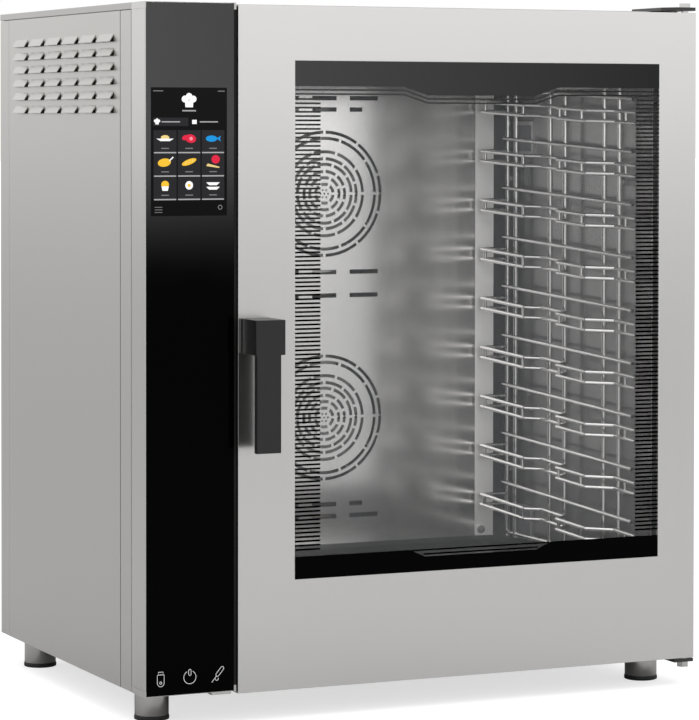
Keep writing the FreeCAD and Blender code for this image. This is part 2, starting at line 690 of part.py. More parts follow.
def fan_wheel(name, height):
    """A radial wheel: a back disc, a front ring, a hub and twelve straight blades."""
    wheel = body(name)
    disc = sketch(wheel, "XZ_Plane", name + "_disc_outline", "-(wheel_back - 2)")
    circle(disc, "fan_x", height, "2 * wheel_out")
    circle(disc, "fan_x", height, "shaft_dia")
    pad(wheel, disc, name + "_disc", "2", reverse=True)
    hub = sketch(wheel, "XZ_Plane", name + "_hub_outline", "-(wheel_front + 10)")
    circle(hub, "fan_x", height, "38")
    circle(hub, "fan_x", height, "shaft_dia")
    pad(wheel, hub, name + "_hub", "wheel_back - wheel_front - 11", reverse=True)
    ring = sketch(wheel, "XZ_Plane", name + "_ring_outline", "-wheel_front")
    circle(ring, "fan_x", height, "2 * wheel_out")
    circle(ring, "fan_x", height, "2 * wheel_out - 44")
    blade = sketch(wheel, "XZ_Plane", name + "_blade_outline", "-(wheel_front + 1)")
    rectangle(blade, "fan_x + wheel_out - 40", f"{height} - 1", "fan_x + wheel_out - 2",
              f"{height} + 1")
    first = pad(wheel, blade, name + "_blade", "wheel_back - wheel_front - 2", reverse=True)
    solve(wheel)
    around = wheel.newObject("PartDesign::PolarPattern", name + "_blades")
    around.Originals = [first]
    centre = sketch(wheel, "XZ_Plane", name + "_axis_mark")
    bind(centre, "AttachmentOffset.Base.x", "fan_x")
    bind(centre, "AttachmentOffset.Base.y", height)
    around.Axis = (centre, ["N_Axis"])
    around.Occurrences = 12
    wheel.Tip = around
    solve(wheel)
    pad(wheel, ring, name + "_ring", "2", reverse=True)
    sub_part(wheel)


def fan_shaft(name, height):
    """The shaft from the wheel's hub through the back wall into the motor."""
    sub_part(lone_rod(name, ("fan_x", "wheel_front + 6", height),
                          "motor_front + 34 - wheel_front - 6", "shaft_dia", "y"))


def lone_rod(name, start, long, dia, along):
    """A cylinder as a sub-part of its own."""
    piece = doc.addObject("Part::Compound", name)
    piece.Links = [rod(name + "_solid", start, long, dia, along)]
    return piece


# ---------------------------------------------------------------- control column

def column_piece(name, low, high, closed):
    """A length of the control column: side walls, a shelf for the glass, and a closed end."""
    outer = block(name + "_outer", ("0", "0", low), ("column_wide", "column_deep", high))
    rebate = block(name + "_rebate", ("1.8", "-1", f"{low} - 1"),
                   ("131.8", "glass_rebate", f"{high} + 1"))
    start = f"{low} + gauge" if closed == "bottom" else f"{low} - 1"
    stop = f"{high} - gauge" if closed == "top" else f"{high} + 1"
    hollow = block(name + "_hollow", ("gauge", "glass_rebate + gauge", start),
                   ("column_wide - gauge", "column_deep + 1", stop))
    cutters = [rebate, hollow]
    if not closed:
        cutters.append(block(name + "_window", ("8", "0", "screen_low - 5"),
                             ("122", "10", "screen_high + 5")))
    return less(name, outer, cutters)


def control_column():
    sub_part(column_piece("control_column", "9", "cabinet_tall - roof_rim", ""))
    group("column_caps", [
        column_piece("cap_top", "cabinet_tall - roof_rim", "cabinet_tall", "top"),
        column_piece("cap_bottom", "0", "9", "bottom")])
    glass = upright_plate("control_glass", "0", "glass_rebate - 0.2",
                          ("2", "1.5", "131.6", "cabinet_tall - 1"))
    sub_part(glass)
    sub_part(upright_plate("touchscreen", "glass_rebate - 0.2", "7",
                           ("screen_left - 3", "screen_low - 4", "screen_right + 3",
                            "screen_high + 4")))
    board = block("control_card", ("16", "18", "650"), ("118", "19.6", "840"))
    chips = [block(f"control_chip_{i}", (f"{x}", "19.6", f"{z}"),
                   (f"{x + 22}", "23", f"{z + 26}"))
             for i, (x, z) in enumerate(((30, 680), (76, 720), (40, 780)))]
    studs = [rod(f"control_stud_{i}", (f"{x}", "glass_rebate + 6.8", f"{z}"), "6.9985", "5", "y")
             for i, (x, z) in enumerate(((20, 664), (114, 664), (20, 834), (114, 834)))]
    sub_part(joined("control_board", [board] + chips + studs))
    tab = block("probe_tab", ("101", "6", "-4"), ("130", "40", "0"))
    hole = rod("probe_hole", ("115.5", "23", "-5"), "6", "9")
    sub_part(less("probe_bracket", tab, [hole]))


def electrical_bay():
    """What stands in the left bay: the power board on its plate, contactors and terminals."""
    plate = block("mounting_sheet", ("40", "120", "200"), ("41.5", "520", "760"))
    feet = [block(f"mounting_foot_{i}", ("1.5", f"{y}", "200"), ("41.5", f"{y + 20}", "201.5"))
            for i, y in enumerate((140, 480))]
    sub_part(joined("mounting_plate", [plate] + feet))
    card = block("power_card", ("46", "160", "480"), ("47.6", "480", "720"))
    parts = [block(f"power_block_{i}", ("47.6", f"{y}", f"{z}"), ("82", f"{y + 60}", f"{z + 50}"))
             for i, (y, z) in enumerate(((180, 500), (180, 640), (300, 560), (400, 640)))]
    studs = [rod(f"power_stud_{i}", ("41.5", f"{y}", f"{z}"), "4.5", "6", "x")
             for i, (y, z) in enumerate(((168, 488), (472, 488), (168, 712), (472, 712)))]
    sub_part(joined("power_board", [card] + parts + studs))
    contactors = [block(f"contactor_{i}", ("41.5", f"{y}", "330"), ("118", f"{y + 45}", "410"))
                  for i, y in enumerate((160, 215, 270))]
    terminals = block("terminals", ("41.5", "360", "340"), ("80", "500", "385"))
    group("switchgear", contactors + [terminals])


def services():
    """Water inlets, the cable gland and the screws of the rear cover."""
    back = "side_deep - gauge"
    valves = []
    for i, x in enumerate(("inlet_x", "inlet_right_x")):
        case = block(f"valve_case_{i}", (f"{x} - 20", f"{back} - 60", "inlet_z - 25"),
                     (f"{x} + 20", back, "inlet_z + 35"))
        stub = rod(f"valve_stub_{i}", (x, back, "inlet_z"), "26", "inlet_dia", "y")
        bore = rod(f"valve_bore_{i}", (x, f"{back} - 10", "inlet_z"), "40", "16", "y")
        valves.append(less(f"valve_{i}", joined(f"valve_solid_{i}", [case, stub]), [bore]))
    group("water_inlet_valves", valves)
    barrel = rod("gland_barrel", ("inlet_x", f"{back} - 14", "gland_z"), "44", "gland_dia", "y")
    nut = rod("gland_nut", ("inlet_x", "side_deep", "gland_z"), "22", "gland_dia + 10", "y")
    bore = rod("gland_bore", ("inlet_x", f"{back} - 20", "gland_z"), "70", "20", "y")
    sub_part(less("cable_gland", joined("gland_solid", [barrel, nut]), [bore]))
    screws = []
    for x in ("342", "658"):
        for z in ("220", "420", "620", "780"):
            screws.append(rod(f"rear_screw_{x}_{z}", (x, "side_deep", z), "3", "9", "y"))
    group("rear_panel_screws", screws)


# ---------------------------------------------------------------- door

def door_skin():
    """The brushed outer pan of the door, open where the glass stands."""
    skin = upright_plate("door_skin", "0", "skin_deep",
                         ("door_left", "door_low", "door_right", "door_high"))
    hollow_from(skin, "skin_hollow", "skin_deep", "skin_deep - gauge",
                ("door_left + gauge", "door_low + gauge", "door_right - gauge",
                 "door_high - gauge"))
    hollow_from(skin, "window_opening", "gauge + 1", "gauge + 2",
                ("window_left", "window_low", "window_right", "window_high"))
    drawing = sketch(skin, "XZ_Plane", "spindle_hole_outline", "-(gauge + 1)")
    circle(drawing, "handle_x", "handle_z", "spindle_dia + 1")
    pocket(skin, drawing, "spindle_hole", "gauge + 2", reverse=True)
    drawing = sketch(skin, "XY_Plane", "pin_hole_outline", "door_low - 5")
    circle(drawing, "hinge_x", "hinge_y", "hinge_pin_dia + 2")
    pocket(skin, drawing, "pin_holes", "cabinet_tall + 20", reverse=True)
    sub_part(skin)


def door_inner_frame():
    """The inner pan of the door, with the opening for the inner glass and the latch slot."""
    frame = upright_plate("door_inner_frame", "skin_deep", "door_deep - skin_deep",
                          ("door_left", "door_low", "door_right", "door_high"),
                          [("inner_left", "inner_low", "inner_right", "inner_high")])
    hollow_from(frame, "inner_hollow", "skin_deep", "door_deep - skin_deep - gauge",
                ("door_left + gauge", "door_low + gauge", "door_right - gauge",
                 "door_high - gauge"), forward=False)
    hollow_from(frame, "latch_slot", "door_deep + 1", "gauge + 2",
                ("handle_x - latch_arm - 6", "handle_z - 18", "handle_x - 4", "handle_z + 18"))
    sub_part(frame)


def door_glass():
    """The outer pane fills the opening and is bonded behind the skin; the inner one is plain."""
    pane = upright_plate("outer_glass", "gauge", "4.5",
                         ("window_left - 12", "window_low - 12", "window_right + 12",
                          "window_high + 12"))
    drawing = sketch(pane, "XZ_Plane", "flush_face_outline", "-gauge")
    rectangle(drawing, "window_left + 0.3", "window_low + 0.3", "window_right - 0.3",
              "window_high - 0.3")
    pad(pane, drawing, "flush_face", "gauge")
    sub_part(pane)
    sub_part(ring_section("window_seal", "gauge + 4.5", "5",
                          ("window_left - 4", "window_low - 4", "window_right + 4",
                           "window_high + 4"), "8"))
    sub_part(upright_plate("inner_glass", "door_deep - gauge - 5", "5",
                           ("inner_left - 8", "inner_low - 8", "inner_right + 8",
                            "inner_high + 8")))


def hinge_bushes():
    """Blocks inside the door's right corners that the hinge pins turn in."""
    bushes = []
    for name, low, high in (("bush_bottom", "door_low + gauge", "door_low + 32"),
                            ("bush_top", "door_high - 32", "door_high - gauge")):
        solid = block(name + "_solid", ("hinge_x - 16", "gauge", low),
                      ("door_right - gauge", "skin_deep - 4", high))
        bore = rod(name + "_bore", ("hinge_x", "hinge_y", f"{low} - 1"), "40",
                   "hinge_pin_dia + 2 * running_gap")
        bushes.append(less(name, solid, [bore]))
    group("hinge_bushes", bushes)


def latch_case():
    """The case behind the handle that the spindle turns in."""
    solid = block("latch_case_solid", ("handle_x - 17", "gauge", "handle_z - 30"),
                  ("handle_x + 17", "24", "handle_z + 30"))
    bore = rod("latch_case_bore", ("handle_x", "0", "handle_z"), "30",
               "spindle_dia + 2 * running_gap", "y")
    sub_part(less("latch_case", solid, [bore]))


# ---------------------------------------------------------------- handle

def handle_grip():
    """The block on the spindle and the flat grip that hangs from it, front faces in one plane."""
    grip = body("handle_grip")
    drawing = sketch(grip, "XZ_Plane", "block_outline", "3")
    rectangle(drawing, "handle_x - 21.8", "handle_z - 24.2", "handle_x + 21.8", "handle_z + 24.2")
    pad(grip, drawing, "block_solid", "handle_out - 3")
    solve(grip)
    drawing = sketch(grip, "XZ_Plane", "grip_outline", "handle_out - grip_thick")
    rectangle(drawing, "handle_x - 20.5", "handle_z - 159.4", "handle_x + 15.5", "handle_z - 20")
    pad(grip, drawing, "grip_solid", "grip_thick")
    drawing = sketch(grip, "XZ_Plane", "spindle_seat_outline", "3")
    circle(drawing, "handle_x", "handle_z", "spindle_dia")
    pocket(grip, drawing, "spindle_seat", "9", reverse=True)
    before = solve(grip)
    edges = [f"Edge{i + 1}" for i, edge in enumerate(grip.Shape.Edges)
             if edge.BoundBox.YMax < 0.1 - size("handle_out")]
    solid = grip.Tip
    soften = grip.newObject("PartDesign::Fillet", "soft_edges")
    soften.Base = (solid, edges)
    soften.Radius = 0.6
    if solve(grip) > before:
        raise ValueError("the handle's edges weren't rounded")
    sub_part(grip)


def handle_spindle():
    sub_part(lone_rod("handle_spindle", ("handle_x", "-12", "handle_z"), "43",
                          "spindle_dia", "y"))


def latch_cam():
    """An arm on the spindle whose pin reaches through the door into the keeper."""
    turn = math.radians(135)
    across, up = math.cos(turn), math.sin(turn)
    arm = doc.addObject("Part::Box", "cam_arm")
    bind(arm, "Length", "latch_arm + 4")
    arm.Width, arm.Height = 5, 12
    offset = FreeCAD.Vector(0, 31, -6)
    spin = FreeCAD.Rotation(FreeCAD.Vector(0, 1, 0), -135)
    arm.Placement = FreeCAD.Placement(FreeCAD.Vector(size("handle_x"), 0, size("handle_z"))
                                      + spin.multVec(offset), spin)
    hub = rod("cam_hub", ("handle_x", "31", "handle_z"), "5", "20", "y")
    pin = rod("cam_pin", (f"handle_x + ({across:.6f}) * latch_arm", "31",
                          f"handle_z + ({up:.6f}) * latch_arm"), "26", "latch_pin_dia", "y")
    sub_part(joined("latch_cam", [arm, hub, pin]))


# ---------------------------------------------------------------- hinges and feet

def top_bracket():
    """A flat arm on the roof that reaches over the door, with one corner cut on the slant."""
    arm = body("bracket_top")
    drawing = sketch(arm, "XY_Plane", "bracket_top_outline", "cabinet_tall")
    outline(drawing, [("hinge_x - 34", "110"), ("door_right", "110"), ("door_right", "1"),
                      ("hinge_x - 20", "1"), ("hinge_x - 34", "22")])
    circle(drawing, "hinge_x", "hinge_y", "hinge_pin_dia")
    pad(arm, drawing, "bracket_top_plate", "5")
    return arm


def bottom_bracket():
    """A flat arm below the door that narrows beside the foot, on a packer under the base."""
    arm = body("bracket_bottom")
    drawing = sketch(arm, "XY_Plane", "bracket_bottom_outline", "door_low - 6")
    outline(drawing, [("hinge_x - 20", "1"), ("door_right", "1"), ("door_right", "110"),
                      ("hinge_x - 4.5", "110"), ("hinge_x - 4.5", "56"), ("hinge_x - 20", "56")])
    circle(drawing, "hinge_x", "hinge_y", "hinge_pin_dia")
    pad(arm, drawing, "bracket_bottom_plate", "5")
    packer = sketch(arm, "XY_Plane", "packer_outline", "door_low - 1")
    rectangle(packer, "hinge_x - 4.5", "58", "cabinet_wide - 2", "110")
    pad(arm, packer, "packer", "1 - door_low")
    return arm


def hex_piece(name, low, tall, flat):
    """A hexagonal head or nut about the hinge axis."""
    prism = doc.addObject("Part::Prism", name)
    prism.Polygon = 6
    bind(prism, "Circumradius", f"{flat / math.sqrt(3):.4f}")
    bind(prism, "Height", tall)
    for axis, formula in zip("xyz", ("hinge_x", "hinge_y", low)):
        bind(prism, f"Placement.Base.{axis}", formula)
    return prism


def hinges():
    group("hinge_brackets", [top_bracket(), bottom_bracket()])
    shank = rod("top_shank", ("hinge_x", "hinge_y", "door_high - 30"),
                "cabinet_tall + 5 - door_high + 30", "hinge_pin_dia")
    head = hex_piece("top_head", "cabinet_tall + 5", "6", 16)
    pin_top = joined("hinge_pin_top", [shank, head])
    shank = rod("bottom_shank", ("hinge_x", "hinge_y", "door_low - 14"), "44", "hinge_pin_dia")
    nut = hex_piece("bottom_nut", "door_low - 14", "8", 16)
    collar = rod("bottom_collar", ("hinge_x", "hinge_y", "door_low - 1"), "0.9", "20")
    group("hinge_pins", [pin_top, joined("hinge_pin_bottom", [shank, nut, collar])])


def feet():
    """Four feet: a fixed sleeve under the base, and a steel foot that screws into it."""
    sleeves = []
    names = ("front_left", "front_right", "back_left", "back_right")
    for name, (x, y) in zip(names, foot_places()):
        tube = rod("sleeve_" + name, (x, y, "-24"), "24 + gauge", "40")
        bore = rod("sleeve_bore_" + name, (x, y, "-25"), "60", "20.1")
        flange = rod("sleeve_flange_" + name, (x, y, "gauge"), "3", "50")
        sleeves.append(less("sleeve_solid_" + name, joined("sleeve_sum_" + name, [tube, flange]),
                            [bore]))
        stem = rod("stem_" + name, (x, y, "-30"), "32", "20")
        can = rod("can_" + name, (x, y, "6 - foot_tall"), "foot_tall - 8", "foot_dia")
        room = rod("room_" + name, (x, y, "-26"), "30", "40.6")
        cup = less("cup_" + name, can, [room])
        sole = rod("sole_" + name, (x, y, "-foot_tall"), "6", "foot_dia + 1.5")
        sub_part(joined("foot_" + name, [cup, stem, sole]))
    group("foot_sleeves", sleeves)


# ---------------------------------------------------------------- the whole oven

base_frame()
left_side_panel()
right_side_panel()
corner_posts()
roof_panel()
rear_panel()
rear_motor_cover()
front_frame()
strike_plate()
cavity_shell()
cavity_insulation()
door_gasket()
fan_baffle()
baffle_screws()
group("heating_elements", [heating_element("element_low", size("fan_low_z")),
                           heating_element("element_high", size("fan_high_z"))])
group("water_injectors", [water_injector("injector_low", "fan_low_z"),
                          water_injector("injector_high", "fan_high_z")])
lamps()
tray_racks()
drain()
vent_pipe()
group("fan_motors", [fan_motor("motor_low", "fan_low_z"), fan_motor("motor_high", "fan_high_z")])
fan_wheel("fan_wheel_low", "fan_low_z")
fan_wheel("fan_wheel_high", "fan_high_z")
fan_shaft("fan_shaft_low", "fan_low_z")
fan_shaft("fan_shaft_high", "fan_high_z")
control_column()
electrical_bay()
services()
door_skin()
door_inner_frame()
door_glass()
hinge_bushes()
latch_case()
handle_grip()
handle_spindle()
latch_cam()
hinges()
feet()
doc.recompute()

for item in doc.Objects:
    if {"Invalid", "Error"} & set(item.State):
        raise ValueError(f"{item.Name} failed: {item.State}")
for node in NODES:
    if node.Shape.isNull() or not node.Shape.isValid():
        raise ValueError(f"{node.Label} has no valid shape")

os.makedirs("parts", exist_ok=True)
whole = FreeCAD.BoundBox()
for node in NODES:
    node.Shape.exportStep(f"parts/{node.Label}.step")
    whole.add(node.Shape.BoundBox)
print(len(NODES), "nodes", whole)
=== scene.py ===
import math

import bmesh
import bpy
from mathutils import Matrix, Vector


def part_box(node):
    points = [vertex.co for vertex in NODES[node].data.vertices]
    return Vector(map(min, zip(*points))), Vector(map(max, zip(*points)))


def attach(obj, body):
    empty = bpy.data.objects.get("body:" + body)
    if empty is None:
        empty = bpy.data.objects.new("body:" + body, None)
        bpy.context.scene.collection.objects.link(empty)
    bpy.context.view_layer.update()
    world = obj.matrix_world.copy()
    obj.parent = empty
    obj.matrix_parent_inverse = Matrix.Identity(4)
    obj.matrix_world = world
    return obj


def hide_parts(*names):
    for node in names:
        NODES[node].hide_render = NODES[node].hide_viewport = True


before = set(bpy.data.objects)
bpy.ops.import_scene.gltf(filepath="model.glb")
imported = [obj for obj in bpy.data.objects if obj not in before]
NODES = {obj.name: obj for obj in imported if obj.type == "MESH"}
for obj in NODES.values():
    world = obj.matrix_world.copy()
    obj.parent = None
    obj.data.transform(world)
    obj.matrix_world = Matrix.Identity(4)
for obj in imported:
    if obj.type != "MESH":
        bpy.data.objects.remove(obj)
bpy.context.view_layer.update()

# Looks of a combi steamer oven: steel finishes, printed window, touchscreen, handle, feet and
# light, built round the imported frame. Metres; +X to the right, +Y to the back, +Z up.

MM = 0.001

UPRIGHT = (900, 900, 7)
SIDEWAYS = (7, 900, 900)
INWARD = (900, 7, 900)
ROUND = (260, 260, 260)


# Shader groups: each works out colours, masks and heights that change over a surface.

def shader_group(name, inputs, outputs):
    """An empty shader group with its named sockets and its two end nodes."""
    tree = bpy.data.node_groups.new(name, "ShaderNodeTree")
    for label, kind, value in inputs:
        socket = tree.interface.new_socket(label, in_out="INPUT", socket_type="NodeSocket" + kind)
        socket.default_value = value
    for label, kind in outputs:
        tree.interface.new_socket(label, in_out="OUTPUT", socket_type="NodeSocket" + kind)
    return tree, tree.nodes.new("NodeGroupInput").outputs, tree.nodes.new("NodeGroupOutput").inputs


def add_node(tree, kind, settings=None, **inputs):
    """A shader node with its settings, and its inputs given as numbers or linked sockets."""
    made = tree.nodes.new(kind)
    for prop, value in (settings or {}).items():
        setattr(made, prop, value)
    for label, value in inputs.items():
        socket = made.inputs[int(label[1:])] if label[1:].isdigit() else made.inputs[label]
        if isinstance(value, bpy.types.NodeSocket):
            tree.links.new(value, socket)
        else:
            socket.default_value = value
    return made


def math_node(tree, operation, first, second):
    return add_node(tree, "ShaderNodeMath", {"operation": operation}, i0=first, i1=second).outputs[0]


def spread(tree, value, low, high):
    """A 0 to 1 value carried to the range low to high."""
    return add_node(tree, "ShaderNodeMapRange", None, Value=value,
                    **{"To Min": low, "To Max": high}).outputs[0]


def tinted(tree, colour, tone):
    """A colour made lighter or darker by a tone near 1."""
    return add_node(tree, "ShaderNodeVectorMath", {"operation": "SCALE"},
                    i0=colour, Scale=tone).outputs[0]


def object_noise(tree, stretch, scale, detail):
    """Noise on Object coordinates, stretched by a vector of lines per metre."""
    place = add_node(tree, "ShaderNodeTexCoord").outputs["Object"]
    drawn = add_node(tree, "ShaderNodeVectorMath", {"operation": "MULTIPLY"}, i0=place, i1=stretch)
    noise = add_node(tree, "ShaderNodeTexNoise", None, Vector=drawn.outputs[0],
                     Scale=scale, Detail=detail)
    return noise.outputs[0]


def brushed_sheet_group():
    """Steel sheet brushed in one direction, with fine lines, broader streaks and wiped clouds."""
    tree, given, gives = shader_group(
        "brushed_sheet",
        [("Colour", "Color", (0.6, 0.6, 0.6, 1)), ("Roughness", "Float", 0.3),
         ("Grain", "Vector", UPRIGHT), ("Streaks", "Float", 0.1)],
        [("Colour", "Color"), ("Roughness", "Float"), ("Height", "Float")])
    lines = object_noise(tree, given["Grain"], 1.0, 2)
    streaks = object_noise(tree, given["Grain"], 0.09, 3)
    clouds = object_noise(tree, (1, 1, 1), 3.5, 4)
    both = math_node(tree, "ADD", math_node(tree, "MULTIPLY", lines, 0.45),
                     math_node(tree, "MULTIPLY", streaks, 0.55))
    change = math_node(tree, "MULTIPLY", math_node(tree, "SUBTRACT", both, 0.5), given["Streaks"])
    tree.links.new(tinted(tree, given["Colour"], math_node(tree, "ADD", change, 1.0)),
                   gives["Colour"])
    wiped = math_node(tree, "MULTIPLY", math_node(tree, "SUBTRACT", clouds, 0.5), 0.04)
    rough = math_node(tree, "ADD", given["Roughness"], math_node(tree, "ADD", change, wiped))
    tree.links.new(rough, gives["Roughness"])
    tree.links.new(both, gives["Height"])
    return tree


def moulded_grain_group():
    """Plastic, rubber, enamel or paint with a fine pebbled skin and faint uneven tone."""
    tree, given, gives = shader_group(
        "moulded_grain",
        [("Colour", "Color", (0.05, 0.05, 0.05, 1)), ("Roughness", "Float", 0.5),
         ("Pebbles", "Float", 900.0), ("Uneven", "Float", 0.2)],
        [("Colour", "Color"), ("Roughness", "Float"), ("Height", "Float")])
    place = add_node(tree, "ShaderNodeTexCoord").outputs["Object"]
    pebbles = add_node(tree, "ShaderNodeTexVoronoi", None, Vector=place,
                       Scale=given["Pebbles"]).outputs["Distance"]
    clouds = object_noise(tree, (1, 1, 1), 12.0, 4)
    change = math_node(tree, "MULTIPLY", math_node(tree, "SUBTRACT", clouds, 0.5), given["Uneven"])
    tree.links.new(tinted(tree, given["Colour"], math_node(tree, "ADD", change, 1.0)),
                   gives["Colour"])
    rough = math_node(tree, "ADD", given["Roughness"], math_node(tree, "MULTIPLY", change, 0.5))
    tree.links.new(rough, gives["Roughness"])
    tree.links.new(pebbles, gives["Height"])
    return tree


def zinc_spangle_group():
    """Galvanised sheet: crystals of zinc, each a little lighter or darker than the next."""
    tree, given, gives = shader_group(
        "zinc_spangle",
        [("Colour", "Color", (0.5, 0.5, 0.5, 1)), ("Roughness", "Float", 0.4),
         ("Crystals", "Float", 70.0)],
        [("Colour", "Color"), ("Roughness", "Float"), ("Height", "Float")])
    place = add_node(tree, "ShaderNodeTexCoord").outputs["Object"]
    cells = add_node(tree, "ShaderNodeTexVoronoi", None, Vector=place, Scale=given["Crystals"])
    tone = add_node(tree, "ShaderNodeSeparateColor", None, Color=cells.outputs["Color"]).outputs[0]
    tree.links.new(tinted(tree, given["Colour"], spread(tree, tone, 0.82, 1.12)), gives["Colour"])
    shift = spread(tree, tone, -0.08, 0.08)
    tree.links.new(math_node(tree, "ADD", given["Roughness"], shift), gives["Roughness"])
    tree.links.new(cells.outputs["Distance"], gives["Height"])
    return tree


def heat_tint_group():
    """Steel coloured by heat in straw and blue patches."""
    tree, given, gives = shader_group(
        "heat_tint",
        [("Colour", "Color", (0.3, 0.3, 0.3, 1)), ("Tint", "Color", (0.35, 0.22, 0.1, 1)),
         ("Roughness", "Float", 0.35)],
        [("Colour", "Color"), ("Roughness", "Float"), ("Height", "Float")])
    patches = object_noise(tree, (1, 1, 1), 9.0, 5)
    grain = object_noise(tree, ROUND, 4.0, 2)
    mixed = add_node(tree, "ShaderNodeMix", {"data_type": "RGBA"}, i0=spread(tree, patches, -0.4, 0.9),
                     i6=given["Colour"], i7=given["Tint"])
    tree.links.new(mixed.outputs[2], gives["Colour"])
    shift = spread(tree, patches, -0.06, 0.1)
    tree.links.new(math_node(tree, "ADD", given["Roughness"], shift), gives["Roughness"])
    tree.links.new(grain, gives["Height"])
    return tree


def wool_fibre_group():
    """Pressed mineral wool: tangled fibres, darker in the hollows as painted shade."""
    tree, given, gives = shader_group(
        "wool_fibre", [("Colour", "Color", (0.5, 0.45, 0.3, 1)), ("Fibres", "Float", 240.0)],
        [("Colour", "Color"), ("Roughness", "Float"), ("Height", "Float")])
    place = add_node(tree, "ShaderNodeTexCoord").outputs["Object"]
    fibres = add_node(tree, "ShaderNodeTexNoise", None, Vector=place, Scale=given["Fibres"],
                      Detail=6.0, Distortion=2.5).outputs[0]
    # Tone follows the fibre height: the wool's own uneven tone, and painted shade in the hollows.
    tree.links.new(tinted(tree, given["Colour"], spread(tree, fibres, 0.6, 1.3)), gives["Colour"])
    tree.links.new(spread(tree, fibres, 0.85, 1.0), gives["Roughness"])
    tree.links.new(fibres, gives["Height"])
    return tree


def lit_points_group():
    """The rows of lit points of a display, a little darker between the rows."""
    tree, given, gives = shader_group(
        "lit_points", [("Colour", "Color", (1, 1, 1, 1)), ("Rows per metre", "Float", 5000.0)],
        [("Colour", "Color"), ("Glow", "Color")])
    place = add_node(tree, "ShaderNodeTexCoord").outputs["Object"]
    across = add_node(tree, "ShaderNodeSeparateXYZ", None, Vector=place)
    dimmed = None
    for axis in ("X", "Z"):
        turns = math_node(tree, "MULTIPLY", across.outputs[axis], given["Rows per metre"])
        edge = math_node(tree, "GREATER_THAN", math_node(tree, "FRACT", turns, 0.0), 0.15)
        dimmed = edge if dimmed is None else math_node(tree, "MULTIPLY", dimmed, edge)
    light = spread(tree, dimmed, 0.75, 1.05)
    tree.links.new(tinted(tree, given["Colour"], spread(tree, dimmed, 0.05, 0.1)), gives["Colour"])
    tree.links.new(tinted(tree, given["Colour"], light), gives["Glow"])
    return tree


SHEET = brushed_sheet_group()
MOULDED = moulded_grain_group()
ZINC = zinc_spangle_group()
HEATED = heat_tint_group()
WOOL = wool_fibre_group()
POINTS = lit_points_group()


def finish(name, group, values, bump=0.0, depth=0.0001, **shader):
    """A material: one shared group feeds colour, roughness and bump, the shader keeps the rest."""
    material = bpy.data.materials.new(name)
    material.use_nodes = True
    tree = material.node_tree
    surface = tree.nodes["Principled BSDF"]
    for label, value in shader.items():
        surface.inputs[label.replace("_", " ")].default_value = value
    effect = tree.nodes.new("ShaderNodeGroup")
    effect.node_tree = group
    for label, value in values.items():
        effect.inputs[label].default_value = value
    tree.links.new(effect.outputs["Colour"], surface.inputs["Base Color"])
    if "Roughness" in effect.outputs:
        tree.links.new(effect.outputs["Roughness"], surface.inputs["Roughness"])
    if "Glow" in effect.outputs:
        tree.links.new(effect.outputs["Glow"], surface.inputs["Emission Color"])
    if bump:
        relief = add_node(tree, "ShaderNodeBump", None, Strength=bump, Distance=depth,
                          Height=effect.outputs["Height"])
        tree.links.new(relief.outputs[0], surface.inputs["Normal"])
    return material


def grey(tone, warmth=0.0):
    """A grey of a linear tone, a little warmer or cooler."""
    return (tone * (1 + warmth), tone, tone * (1 - warmth), 1)


def steel(name, tone, roughness, grain, streaks=0.1, warmth=0.012, metallic=1.0, bump=0.12):
    return finish(name, SHEET, {"Colour": grey(tone, warmth), "Roughness": roughness,
                                "Grain": grain, "Streaks": streaks},
                  bump=bump, depth=0.00006, Metallic=metallic)


def zinc(name, tone, roughness):
    return finish(name, ZINC, {"Colour": grey(tone, -0.01), "Roughness": roughness},
                  bump=0.05, Metallic=0.9)


def plastic(name, colour, roughness, pebbles=900.0, uneven=0.2, bump=0.15, gloss=0.5):
    return finish(name, MOULDED, {"Colour": colour, "Roughness": roughness, "Pebbles": pebbles,
                                  "Uneven": uneven}, bump=bump, Specular_IOR_Level=gloss)


def painted(name, colour, roughness):
    return finish(name, MOULDED, {"Colour": colour, "Roughness": roughness, "Pebbles": 300.0,
                                  "Uneven": 0.12}, bump=0.1, Coat_Weight=0.3, Coat_Roughness=0.25)


def clear_pane(name, tone, alpha):
    """Float glass: mostly see-through, with a faint wiped film."""
    return finish(name, MOULDED, {"Colour": grey(tone, -0.03), "Roughness": 0.04,
                                  "Pebbles": 40.0, "Uneven": 0.08},
                  Alpha=alpha, Specular_IOR_Level=0.5)


def black_glass(name, tone, gloss):
    """Glass printed black behind, under one even gloss."""
    return finish(name, MOULDED, {"Colour": grey(tone), "Roughness": 0.05, "Pebbles": 60.0,
                                  "Uneven": 0.1}, Specular_IOR_Level=gloss)


def display_light(name, colour, strength):
    return finish(name, POINTS, {"Colour": (*colour, 1)}, Roughness=0.12,
                  Specular_IOR_Level=0.1, Emission_Strength=strength)


